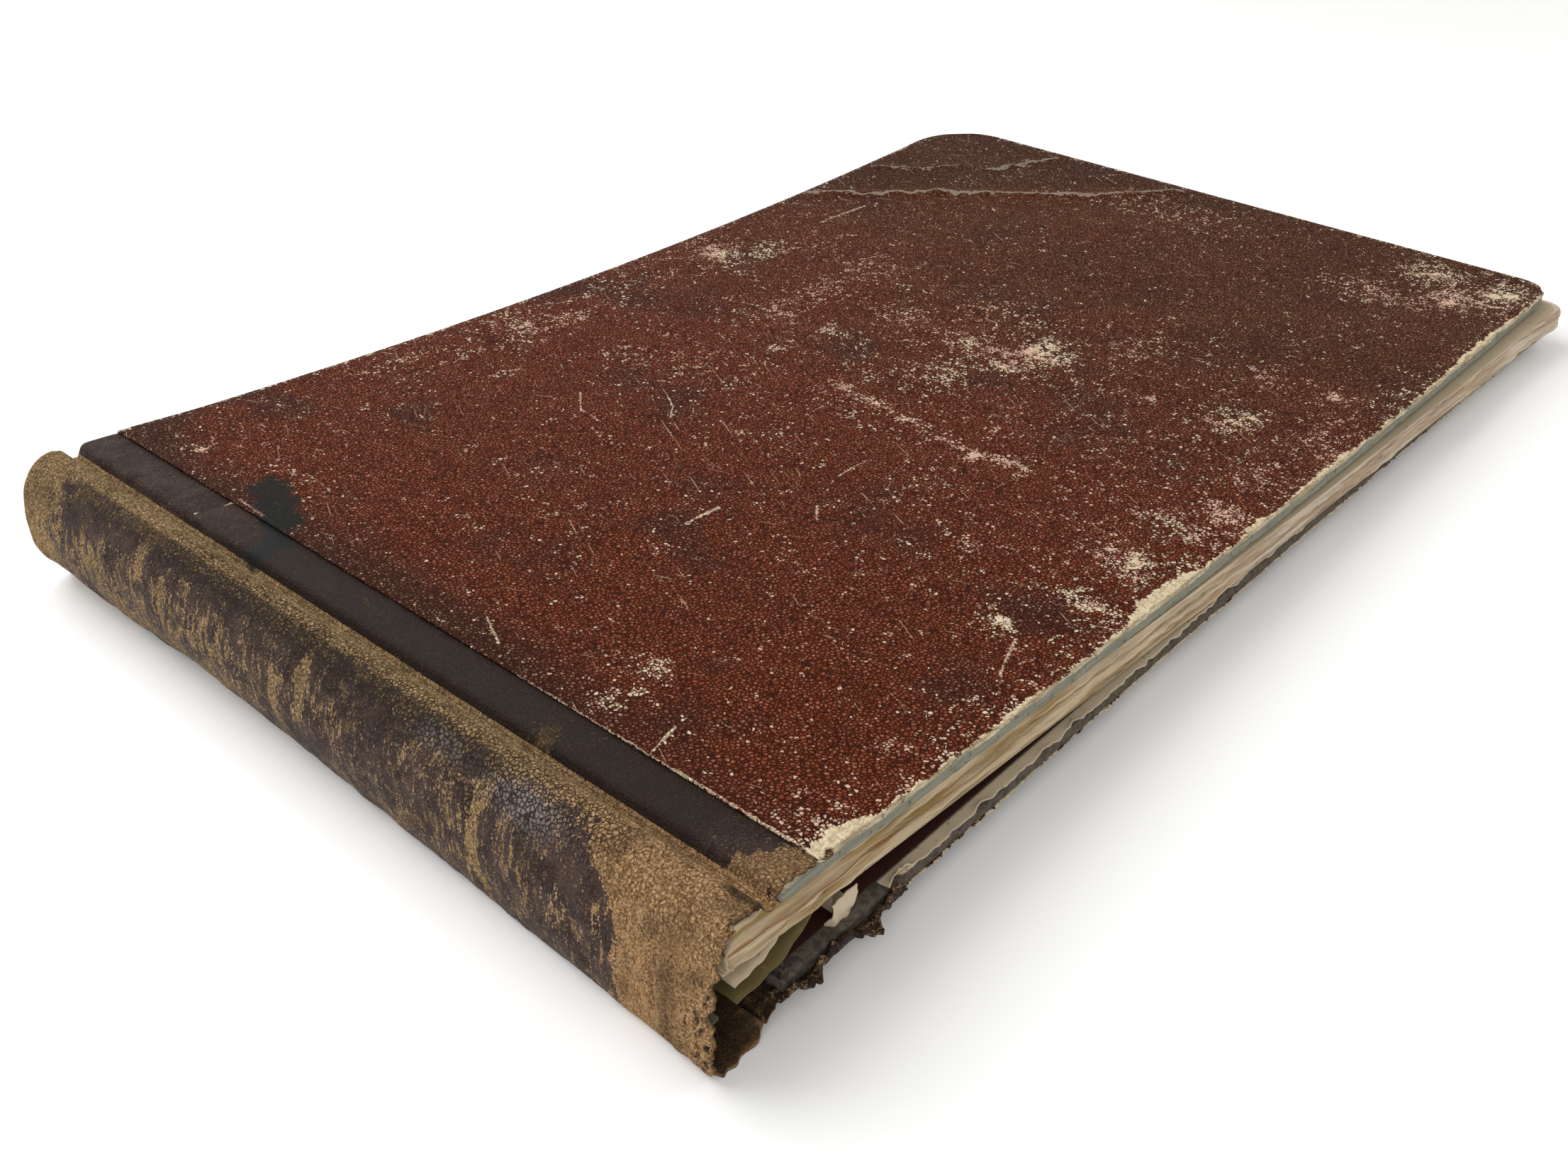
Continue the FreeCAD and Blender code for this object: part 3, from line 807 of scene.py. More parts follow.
def cover_values(x, y, cover):
    """Wear, soil, bare backing and ink of the cloth at places on a cover."""
    wear = -0.12 + 0.10 * wave(x, y, 30, 3.0)
    if cover == UPPER:
        for cx, cy, across, along, strength in SCUFFS:
            spot = strength * np.exp(-((x - cx) / across / 1.15) ** 2 - ((y - cy) / along / 1.15) ** 2)
            wear = np.maximum(wear, spot)
    else:
        wear = wear + 0.30 * bump(np.minimum(x - 9, LENGTH - x), 14)
        wear = wear + 0.2 * smooth(0.1, 0.8, wave(x, y, 60, 5.0))
    wear = np.maximum(wear, 0.34 * bump(y, 6))
    wear = np.maximum(wear, 0.50 * bump(WIDTH - y, 1.2))
    wear = np.maximum(wear, 0.42 * bump(LENGTH - x, 1.6))
    depth = 0.35 + 0.4 * wave(x, 0, 9.0, 2.0) + 0.5 * wave(x, 0, 2.6, 4.0)
    for middle, width, deep in SPOTS:
        depth = depth + deep * np.clip(1 - ((x - middle) / (width / 2)) ** 2, 0, 1)
    bare = smooth(1.2, -0.9, y - depth)
    rim = smooth(0.9, 0.0, WIDTH - y) * smooth(-0.3, 0.5, wave(x, y, 14.0, 5.0))
    bare = np.maximum(bare, 0.62 * rim)
    lap = sizes().strip
    beside = 5 + 5 * bump(y - 110, 50) + 8 * smooth(195, 225, y)
    soil = smooth(beside + 9, beside - 7, x - lap + 2.5 * wave(x, y, 16, 7.0))
    soil = soil * (0.35 + 0.5 * smooth(30, 80, y))
    from_head = (WIDTH - y) * 1.3 + x * 0.25 + 5 * wave(x, y, 12, 1.0)
    soil = np.maximum(soil, 0.8 * smooth(22, 4, from_head) * smooth(120, 60, x))
    soil = np.maximum(soil, 0.60 * smooth(0, 16, x - 268 + (y - 228) * 0.8))
    soil = np.maximum(soil, 0.55 * bump(LENGTH - x, 14) * bump(y - 130, 60))
    if cover == UPPER:
        ink = ink_at(x, y)
        blue = bump(np.hypot((x - 39) / 1.5, y - 53), 1.8)
    else:
        ink = np.zeros_like(x)
        blue = np.zeros_like(x)
    marks = {"soil": soil, "bare": bare, "ink": ink + 0.4 * blue}
    marks = {name: np.clip(value, 0, 1) for name, value in marks.items()}
    return {"wear": wear, **marks}


def cover_relief(x, y):
    """How far the upper cloth stands above its smooth surface, in millimetres."""
    lift = 0.24 * wave(x, y, 34, 1.0) + 0.10 * wave(x, y, 9, 2.0)
    for start, end, half, strength in FOLDS:
        lift = lift + 0.75 * strength * bump(near_line(x, y, start, end), 2.0)
    return lift


def side_ys(x, s):
    """Tail and head ends of a cover at each x, with its rounded fore-edge corners."""
    tail_in = np.clip(x - (LENGTH - s.tail_radius), 0, s.tail_radius)
    head_in = np.clip(x - (LENGTH - s.head_radius), 0, s.head_radius)
    low = s.tail_radius - np.sqrt(s.tail_radius ** 2 - tail_in ** 2)
    high = WIDTH - s.head_radius + np.sqrt(s.head_radius ** 2 - head_in ** 2)
    return low, high


def cloth_columns(start, s):
    """Places across a cover, closer together where its corners turn."""
    near = start + np.array([0.0, 0.3, 0.8, 1.6])
    flat = np.concatenate([near, np.linspace(start + 2.8, LENGTH - s.head_radius, 188)])
    turn = LENGTH - s.head_radius + s.head_radius * np.sin(np.linspace(0, math.pi / 2, 26)[1:])
    return np.concatenate([flat, turn])


def make_cloth(cover):
    """One side's cloth: a sheet that wraps the head and the fore-edge, with a ragged edge at the tail."""
    s = sizes()
    side = -1 if cover == UPPER else 1
    columns = cloth_columns(s.strip, s)
    tail_rows = np.array([0, 0.4, 0.9, 1.5, 2.2, 3.0, 4.0, 5.2, 6.6]) / WIDTH
    rows = np.concatenate([tail_rows, np.linspace(8.2 / WIDTH, 1, 122)])
    low, high = side_ys(columns, s)
    ragged = 0.25 + 0.4 * wave(columns, 0, 2.3, 3.0) + 0.4 * wave(columns, 0, 0.9, 5.0)
    low = low + np.clip(ragged, -0.2, 1.2)
    x = np.broadcast_to(columns[None, :], (len(rows), len(columns)))
    y = low[None, :] + (high - low)[None, :] * rows[:, None]
    lap = smooth(24.0, 2.0, x - s.strip) * s.cloth
    lift = cover_relief(x, y) if cover == UPPER else 0.18 * wave(x, y, 34, 4.0)
    lift = lift * smooth(0, 6, np.minimum(WIDTH - y, LENGTH - x)) * smooth(0, 14, x - s.strip) + 0.12
    curl = 0.5 * smooth(3.0, 0.0, y - low[None, :]) * np.clip(wave(x, 0, 7.0, 6.0), 0, 1)
    z = outer_height(cover, x, y) - side * (lap + lift + curl)
    points = np.stack([x, y, z], 2)
    faces = grid_faces(len(rows), len(columns))
    values = cover_values(x.ravel(), y.ravel(), cover)
    rim = [(len(rows) - 1) * len(columns) + j for j in range(len(columns))]
    rim += [i * len(columns) + len(columns) - 1 for i in range(len(rows) - 2, -1, -1)]
    flat = points.reshape(-1, 3)
    edge = flat[rim]
    direction = np.gradient(edge[:, :2], axis=0)
    normal = np.stack([-direction[:, 1], direction[:, 0]], 1)
    normal /= np.linalg.norm(normal, axis=1)[:, None]
    rounding = 0.9
    deep = s.board + 2 * s.cloth
    quarter = np.linspace(0, math.pi / 2, 5)[1:]
    path = [(rounding * math.sin(a), rounding * (1 - math.cos(a))) for a in quarter]
    path = [(out - rounding, down) for out, down in path]
    path += [(0.0, deep - rounding)]
    path += [(-rounding * (1 - math.cos(a)), deep - rounding * (1 - math.sin(a))) for a in quarter]
    path += [(-3.0, deep), (-8.0, deep), (-s.turn_in, deep)]
    strips = [flat]
    base_height = outer_height(cover, edge[:, 0], edge[:, 1])
    lowered = (edge[:, 2] - base_height) * side
    skins = [rim]
    count = len(flat)
    for out, down in path:
        offset = out + s.cloth
        px = edge[:, 0] + normal[:, 0] * offset
        py = edge[:, 1] + normal[:, 1] * offset
        fade = max(0.0, 1 - down / deep)
        pz = outer_height(cover, px, np.clip(py, 0, WIDTH)) + side * (down + lowered * fade)
        strips.append(np.stack([px, py, pz], 1))
        skins.append(list(range(count, count + len(rim))))
        count += len(rim)
        more = cover_values(px, np.clip(py, 0, WIDTH), cover)
        for key in values:
            values[key] = np.concatenate([values[key], more[key]])
    for near, far in zip(skins, skins[1:]):
        faces += [(near[j], near[j + 1], far[j + 1], far[j]) for j in range(len(rim) - 1)]
    if cover == LOWER:
        faces = [face[::-1] for face in faces]
    name = cover + "_cloth_side"
    finish = material("cloth" if cover == UPPER else "cloth_under")
    piece = make_mesh(name, np.concatenate(strips), faces, finish, values)
    thicken(piece, s.cloth - 0.04)
    return dress(piece, cover + "_cover", "book_cloth", cover + "_cloth")


def make_board(cover):
    """Millboard core with softened, worn edges."""
    s = sizes()
    side = -1 if cover == UPPER else 1
    loop = outline(0, LENGTH, 0, WIDTH, s.tail_radius, s.head_radius, 1.6)
    radius = 0.9
    rise = radius / s.board
    cut = 0.3
    outer_arc = np.linspace(cut, math.pi / 2, 4)
    inner_arc = np.linspace(0, math.pi / 2 - cut, 4)
    rings = [(4.0, 1.0), (radius, 1.0)]
    rings += [(radius * (1 - math.sin(a)), 1 - rise * (1 - math.cos(a))) for a in outer_arc]
    rings += [(0.0, 0.62), (0.0, 0.38)]
    rings += [(radius * (1 - math.cos(a)), rise * (1 - math.sin(a))) for a in inner_arc]
    rings += [(radius, 0.0), (4.0, 0.0)]

    def height(px, py, share):
        top = outer_height(cover, px, py) + side * s.cloth
        bottom = top + side * s.board
        return bottom + (top - bottom) * share

    piece = plate(cover + "_millboard", loop, rings, height, material("board"), (LENGTH / 2, WIDTH / 2))
    mesh = piece.data
    places = np.array([v.co for v in mesh.vertices])
    x = (places[:, 0] - CORNER.x) / MM
    y = (places[:, 1] - CORNER.y) / MM
    z = places[:, 2] / MM
    depth = np.abs(outer_height(cover, x, y) - z) - s.cloth
    tail = smooth(3.0, 1.0, y)
    rag = 0.10 * wave(x, z, 4.0, 3.0) + 0.16 * wave(x, z * 3, 1.6, 4.0)
    y_out = y - tail * np.clip(rag, -0.5, 0.4) * smooth(0.0, 0.4, np.minimum(depth, s.board - depth) + 0.3)
    places[:, 1] = y_out * MM + CORNER.y
    mesh.vertices.foreach_set("co", places.ravel())
    if cover == UPPER:
        cream = 0.8 * smooth(1.1, 0.1, depth + 0.4 * wave(x, 0, 11, 5.0))
    else:
        cream = 0.7 * smooth(3.1, 3.6, depth + 0.3 * wave(x, 0, 8, 5.0)) * tail * smooth(20, 40, x)
    soil = 0.0 if cover == UPPER else 0.85
    paint(mesh, rim=cream, soil=soil)
    if cover == UPPER:
        mesh.flip_normals()
    mesh.update()
    return dress(piece, cover + "_cover", "millboard", cover + "_board")


# Leather

# Rubbed streaks of the back as place along it, half width, first and last share round it, and strength
STREAKS = (
    (176.5, 2.2, 0.20, 0.44, 0.85),
    (193, 1.6, 0.36, 0.58, 0.62),
    (212, 2.0, 0.34, 0.52, 0.55),
    (168, 2.2, 0.34, 0.52, 0.60),
    (158, 1.4, 0.24, 0.42, 0.50),
    (145, 1.8, 0.30, 0.48, 0.58),
    (136, 1.4, 0.26, 0.42, 0.45),
    (124, 2.6, 0.38, 0.64, 0.80),
    (115.5, 2.2, 0.26, 0.56, 0.80),
    (109, 1.2, 0.24, 0.40, 0.50),
    (83, 2.0, 0.36, 0.50, 0.42),
    (61, 1.9, 0.36, 0.74, 0.90),
    (46, 3.5, 0.46, 0.62, 0.42),
    (37, 2.4, 0.46, 0.60, 0.50),
    (27, 2.4, 0.42, 0.64, 0.45),
)


def rub_at(around, y):
    """How far the leather is rubbed to suede, from its place round the back and along it."""
    bend = 0.03 * wave(y, 0 * y, 9.0, 2.0)
    rub = 1.0 * smooth(0.235, 0.165, around + bend)
    rub = np.maximum(rub, 0.56 * smooth(0.33, 0.22, around + bend))
    for place, half, first, last, strength in STREAKS:
        inside = smooth(first - 0.05, first + 0.04, around) * smooth(last + 0.06, last - 0.06, around)
        away = y - place - 1.4 * wave(around * 40, y * 0, 6, 3.0)
        rub = np.maximum(rub, strength * inside * bump(away, half))
    rub = np.maximum(rub, 0.75 * bump(np.hypot((around - 0.33) / 0.09, (y - 59.5) / 3.6), 1.0))
    tail_end = np.interp(around, [0.1, 0.3, 0.38, 0.5, 0.6, 0.75, 1.0], [36, 33, 26, 21, 23, 24, 22])
    rub = np.maximum(rub, 0.95 * smooth(3, -3, y - tail_end + 2.2 * wave(around * 46, y, 5.0, 3.0)))
    rub = np.maximum(rub, 0.9 * smooth(207, 220, y + 4 * wave(around * 46, y, 6, 5)))
    mottled = 0.28 + 0.16 * smooth(120, 150, y) * smooth(0.36, 0.48, around)
    mottled = mottled + 0.12 * wave(around * 50, y, 12, 4.0)
    dark = bump(np.hypot((around - 0.42) / 0.10, (y - 31) / 8), 1.0)
    mottled = mottled - 0.22 * dark - 0.14 * bump(around - 0.32, 0.06) * smooth(70, 90, y)
    return np.clip(np.maximum(rub, mottled), 0, 1)


def leather_values(x, y, around):
    """Rubbing, crackle, grime with painted shade, ink and a painted highlight of the leather."""
    on_board = x > -1.5
    rub = rub_at(around, y)
    strip = 0.02 + 0.08 * wave(x, y, 8, 3.0)
    strip = np.maximum(strip, 0.95 * smooth(15, 8, y + 3.0 * wave(x, y, 4, 2.0) + 0.6 * np.clip(x, 0, 12)))
    strip = np.maximum(strip, 0.85 * bump(np.hypot((x - 0.5) / 3.6, (y - 59 - x * 0.4) / 3.2), 1.0))
    strip = np.maximum(strip, 0.45 * bump(np.hypot(x - 5 - 0.2 * (y - 120), (y - 120) / 5), 0.9))
    rub = np.where(on_board, strip, rub)
    net = smooth(0.05, 0.12, around) * smooth(0.36, 0.27, around) * smooth(16, 32, y) * smooth(190, 165, y)
    net = np.maximum(0.85 * net, 0.45 * smooth(0.03, 0.1, around) * smooth(0.5, 0.3, around))
    # Painted shade: darker along the groove between the back and the strip, more so toward the tail
    groove = bump(x + 3.0, 1.3) * smooth(0.12, 0.0, around)
    grime = (0.12 + 0.4 * smooth(70, 35, y)) * groove * smooth(6, 20, y)
    band = 0.62 * smooth(0.17, 0.21, around) * smooth(0.33, 0.26, around)
    grime = np.maximum(grime, band * smooth(50, 64, y) * smooth(215, 205, y))
    # Painted shade: the hollow inside the back at the torn tail
    hollow = smooth(0.02, 0.05, around) * smooth(0.15, 0.10, around) * smooth(9, 5, y)
    grime = np.maximum(grime, 0.9 * hollow)
    grime = np.maximum(grime, 0.35 * smooth(0.3, 0.8, wave(around * 45, y, 6.0, 9.0)))
    grime = np.where(on_board, 0.25 + 0.5 * smooth(185, 150, y) * smooth(12, 22, y), grime)
    grime = np.maximum(grime, 0.5 * smooth(0.30, 0.40, around) * smooth(0.9, 0.8, around) * bump(y - 10, 3))
    ink = np.where(around < 0.16, ink_at(x, y), 0)
    # Painted highlight: pale sheen patches on the shoulder of the back, the weaker one nearer the head
    painted_highlight = bump(np.hypot((around - 0.30) / 0.065, (y - 49) / 9), 1.0)
    painted_highlight = np.maximum(painted_highlight, 0.45 * bump(np.hypot((around - 0.27) / 0.05, (y - 73) / 7), 1.0))
    net = np.where(on_board, 0.5, net)
    marks = {"rub": rub, "net": net, "grime": grime, "ink": ink, "painted_highlight": painted_highlight * ~on_board}
    return {name: np.clip(value, 0, 1) for name, value in marks.items()}


def back_surface(first, last, count, lengthways, inset=0.0):
    """Places on the back between two shares of its way round, as arrays of x, y, z and the share."""
    around = np.linspace(first, last, count)
    weights = curve_weights(14, around)
    ys = np.linspace(0, WIDTH, lengthways)
    x = np.empty((lengthways, count))
    z = np.empty((lengthways, count))
    for i, y in enumerate(ys):
        line = weights @ spine_poles(fullness(y))
        x[i], z[i] = line.T
    run_x, run_z = np.gradient(x, axis=1), np.gradient(z, axis=1)
    size = np.hypot(run_x, run_z)
    out_x, out_z = run_z / size, -run_x / size
    y = np.broadcast_to(ys[:, None], x.shape).copy()
    share = np.broadcast_to(around[None, :], x.shape)
    return x - out_x * inset, y, z - out_z * inset, share, out_x, out_z


def leather_sheet(name, x, y, z, values, flip):
    """Sheet of the binding leather from arrays of places and of marks."""
    marks = {key: value.ravel() for key, value in values.items()}
    return make_mesh(name, np.stack([x, y, z], 2), grid_faces(*x.shape, flip=flip), material("leather"), marks)


def make_back():
    """The hollow leather back, wrinkled and rubbed, with a torn tail and a soft rim at the head."""
    s = sizes()
    x, y, z, share, out_x, out_z = back_surface(0.055, 0.985, 150, 250)
    wrinkle = 0.22 * wave(share * 46, y, 7.0, 1.0) + 0.14 * wave(share * 46, y, 2.6, 2.0)
    sunken = smooth(0.16, 0.24, share)
    dents = -0.5 * sum(bump(y - place, 2.2) * sunken * smooth(0.5, 0.4, share) for place in (61, 115, 124))
    tail = smooth(16, 0, y)
    lumps = tail * (0.75 * wave(share * 46, y, 5.0, 5.0) + 0.45 * wave(share * 46, y, 1.8, 6.0))
    lift = np.minimum(wrinkle + dents * 0.6 + lumps, 0.05 + 1.5 * smooth(33.2, 31.0, z))
    ends = smooth(0, 0.06, share - 0.055) * smooth(0, 0.05, 0.985 - share)
    rim = smooth(226.2, WIDTH, y)
    lift = lift * ends * (1 - rim) - 1.0 * rim ** 2 * ends
    lift = np.where(z < 1.0, np.clip(lift, 0, 1) * 0.2, lift)
    x, z = x + out_x * lift, z + out_z * lift
    raised = smooth(195, 226, y) * smooth(0.62, 0.80, share) * ends
    x, z = x + 1.2 * raised, z + 1.3 * raised
    jag = wave(share * 46, 0 * y, 4.0, 7.0) + 0.7 * wave(share * 46, 0 * y, 1.4, 8.0)
    y = y + np.clip(1.3 * smooth(5, 0, y) * jag, -1.2, 2.0) * smooth(0.16, 0.28, share)
    frill = smooth(4, 0, WIDTH - y) * 0.35 * wave(share * 46, 0 * y, 5.0, 3.0)
    y = y + 1.3 * smooth(210, WIDTH, y) * ends + frill
    z = np.maximum(z, 0.02)
    piece = leather_sheet("leather_back", x, y, z, leather_values(x, y, share), True)
    thicken(piece, s.leather)
    # Painted shade on the inner face of the hollow back
    paint_inner_shade(piece, x.size, 0.85)
    dress(piece, "book_block", "binding_leather", "spine_leather")
    points = np.stack([x, y, z], 2)
    rows = smooth(4.5, 2.5, points[:, 60, 1]) > 0.5
    torn = points[rows][:, 62:112]
    crumbs("tail_crumbs", torn, "book_block", 2.6e5, 0.95)


def scatter_tree(name, kind):
    """Geometry nodes that scatter crumbs, or threads that point to the tail, over a surface."""
    tree = bpy.data.node_groups.new(name, "GeometryNodeTree")
    face = tree.interface
    face.new_socket(name="Surface", in_out="INPUT", socket_type="NodeSocketGeometry")
    for label in ("Density", "Size", "Least scale"):
        face.new_socket(name=label, in_out="INPUT", socket_type="NodeSocketFloat")
    face.new_socket(name="Seed", in_out="INPUT", socket_type="NodeSocketInt")
    face.new_socket(name="Material", in_out="INPUT", socket_type="NodeSocketMaterial")
    face.new_socket(name="Bits", in_out="OUTPUT", socket_type="NodeSocketGeometry")
    new, link = tree.nodes.new, tree.links.new
    source, sink = new("NodeGroupInput").outputs, new("NodeGroupOutput").inputs
    spread = new("GeometryNodeDistributePointsOnFaces")
    link(source["Surface"], spread.inputs["Mesh"])
    link(source["Density"], spread.inputs["Density"])
    link(source["Seed"], spread.inputs["Seed"])
    if kind == "crumb":
        bit = new("GeometryNodeMeshIcoSphere")
        bit.inputs["Subdivisions"].default_value = 1
        link(source["Size"], bit.inputs["Radius"])
        low, high = (0, 0, 0), (6.3, 6.3, 6.3)
    else:
        bit = new("GeometryNodeMeshCone")
        bit.inputs["Vertices"].default_value = 3
        bit.inputs["Radius Bottom"].default_value = 0.07 * MM
        link(source["Size"], bit.inputs["Depth"])
        low, high = (1.0, -0.7, 0), (2.0, 0.7, 0.4)
    turn = new("FunctionNodeRandomValue")
    turn.data_type = "FLOAT_VECTOR"
    turn.inputs[0].default_value, turn.inputs[1].default_value = low, high
    link(source["Seed"], turn.inputs["Seed"])
    grow = new("FunctionNodeRandomValue")
    grow.data_type = "FLOAT_VECTOR"
    grow.inputs[1].default_value = (1, 1, 1)
    link(source["Least scale"], grow.inputs[0])
    link(source["Seed"], grow.inputs["Seed"])
    place = new("GeometryNodeInstanceOnPoints")
    link(spread.outputs["Points"], place.inputs["Points"])
    link(bit.outputs["Mesh"], place.inputs["Instance"])
    link(turn.outputs[0], place.inputs["Rotation"])
    link(grow.outputs[0], place.inputs["Scale"])
    real = new("GeometryNodeRealizeInstances")
    link(place.outputs[0], real.inputs[0])
    finish = new("GeometryNodeSetMaterial")
    link(real.outputs[0], finish.inputs["Geometry"])
    link(source["Material"], finish.inputs["Material"])
    link(finish.outputs[0], sink["Bits"])
    return tree


def scatter(name, grid, kind, density, size, least, finish):
    """Bits scattered over a grid of places, as one plain mesh."""
    piece = make_mesh(name, grid, grid_faces(*grid.shape[:2]), finish)
    tree = scatter_tree(name, kind)
    step = piece.modifiers.new("scatter", "NODES")
    step.node_group = tree
    values = {"Density": density, "Size": size * MM, "Least scale": least, "Seed": 7, "Material": finish}
    for socket in tree.interface.items_tree:
        if socket.in_out == "INPUT" and socket.name in values:
            step[socket.identifier] = values[socket.name]
    bpy.context.view_layer.update()
    graph = bpy.context.evaluated_depsgraph_get()
    mesh = bpy.data.meshes.new_from_object(piece.evaluated_get(graph))
    piece.modifiers.remove(step)
    piece.data = mesh
    return piece


def crumbs(name, grid, body, density, size):
    """Crumbs of torn leather."""
    piece = scatter(name, grid, "crumb", density, size, 0.35, material("leather"))
    paint(piece.data, rub=0.55, grime=0.55)
    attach(piece, body)
    return piece


def strip_section(cover):
    """Section of the leather on a board, from its cloth to the joint, as (x, depth below the board's face)."""
    on_board = ((13.6, 0.35), (10.4, 0.30), (9.2, 0.05), (6.0, 0.0), (3.0, 0.0))
    if cover == UPPER:
        return (*on_board, (1.2, 0.02), (0.2, 0.2), (-0.6, 0.75), (-1.1, 1.6), (-1.6, 2.5), (-2.1, 3.0))
    return (*on_board, (1.0, 0.05), (0.0, -0.02), (-0.8, -0.35), (-1.4, -0.7), (-2.1, -1.05))


def make_strip(cover):
    """Leather strip along a board's spine edge, down to the joint."""
    s = sizes()
    side = -1 if cover == UPPER else 1
    section = np.array(strip_section(cover), float)
    steps = np.linspace(0, len(section) - 1, 5 * (len(section) - 1) + 1)
    sx = np.interp(steps, np.arange(len(section)), section[:, 0])
    sd = np.interp(steps, np.arange(len(section)), section[:, 1])
    kernel = np.array([1, 2, 3, 2, 1]) / 9
    sx[2:-2] = np.convolve(sx, kernel, "valid")
    sd[2:-2] = np.convolve(sd, kernel, "valid")
    ys = np.linspace(0.0, WIDTH, 230)
    x = np.broadcast_to(sx[None, :], (len(ys), len(sx))).copy()
    y = np.broadcast_to(ys[:, None], x.shape).copy()
    z = outer_height(cover, np.clip(x, 0, None), y) + side * sd[None, :]
    lift = 0.07 * wave(x, y, 4.0, 2.0) + 0.05 * wave(x, y, 12.0, 3.0)
    dent = 0.35 * bump(near_line(x, y, (-3, 180), (11, 178)), 1.2)
    puff = 0.55 * smooth(10, 2, y) * smooth(9, 3, x) * (1 + 0.6 * wave(x, y, 3.0, 7.0)) * (cover == UPPER)
    z = z - side * ((lift - dent + puff) * smooth(-2.1, 0.5, x))
    y = y + smooth(3, 0, y) * np.clip(0.8 * wave(x, 0 * y, 2.2, 5.0), -0.3, 0.8)
    values = leather_values(x, y, np.full_like(x, 0.02))
    piece = leather_sheet(cover + "_leather_strip", x, y, z, values, cover == UPPER)
    thicken(piece, s.cloth)
    # Painted shade on the strip's inner face
    paint_inner_shade(piece, x.size, 0.9)
    return dress(piece, cover + "_cover", "binding_leather", cover + "_leather")


def make_joint(cover):
    """Leather that bends in a joint, from the back's edge to the strip's."""
    s = sizes()
    side = -1 if cover == UPPER else 1
    place = 0.055 if cover == UPPER else 0.985
    weights = curve_weights(14, np.array([place]))
    ys = np.linspace(0, WIDTH, 230)
    backs = np.array([(weights @ spine_poles(fullness(y)))[0] for y in ys])
    section = np.array(strip_section(cover), float)
    end_x = np.full_like(ys, section[-1][0])
    end_z = outer_height(cover, np.zeros_like(ys), ys) + side * section[-1][1]
    t = np.linspace(0, 1, 13)
    x = backs[:, :1] * (1 - t) + end_x[:, None] * t
    z = backs[:, 1:] * (1 - t) + end_z[:, None] * t
    sag = (0.9 if cover == UPPER else 0.5) * np.sin(math.pi * t) * smooth(0, 0.25, t) * smooth(0, 0.25, 1 - t)
    z = z + side * sag
    y = np.broadcast_to(ys[:, None], x.shape).copy()
    values = leather_values(np.minimum(x, -1.6), y, np.full_like(x, 0.02 if cover == UPPER else 0.985))
    piece = leather_sheet(cover + "_joint_leather", x, y, z, values, cover == LOWER)
    thicken(piece, s.cloth)
    # Painted shade on the joint's inner face
    paint_inner_shade(piece, x.size, 0.95)
    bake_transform(piece)
    return piece


# Leaves

LEAF_TURN = math.radians(-1.0)
LEAF_BACK = 10.0
LEAF_LENGTH = 366.0
LEAF_WIDTH = 222.0
GAP_CLOSES = 230.0
STUBS = 19.0
COVER_DEPTH = 4.55
PAGE_GAP = 0.3
SHEET = 0.25
UNDER_LEAVES = 16.75


def turned(x, y):
    """Places turned with the leaves about the middle of their back."""
    dx, dy = x + LEAF_BACK, y - WIDTH / 2
    c, s = math.cos(LEAF_TURN), math.sin(LEAF_TURN)
    return -LEAF_BACK + dx * c - dy * s, WIDTH / 2 + dx * s + dy * c


def leaf_top(x, y):
    return outer_height(UPPER, x, y) - COVER_DEPTH - PAGE_GAP - SHEET


def leaf_bottom(x, y):
    """Underside of the leaves: free over the dark gap, then on the lower cover."""
    floor = outer_height(LOWER, x, y) + COVER_DEPTH + PAGE_GAP + SHEET
    end = float(outer_height(LOWER, GAP_CLOSES, 0)) + COVER_DEPTH
    t = (x - STUBS) / (GAP_CLOSES - STUBS)
    slope = UNDER_LEAVES + (end - UNDER_LEAVES) * t - 3.2 * t * (1 - t)
    return np.maximum(floor, slope)


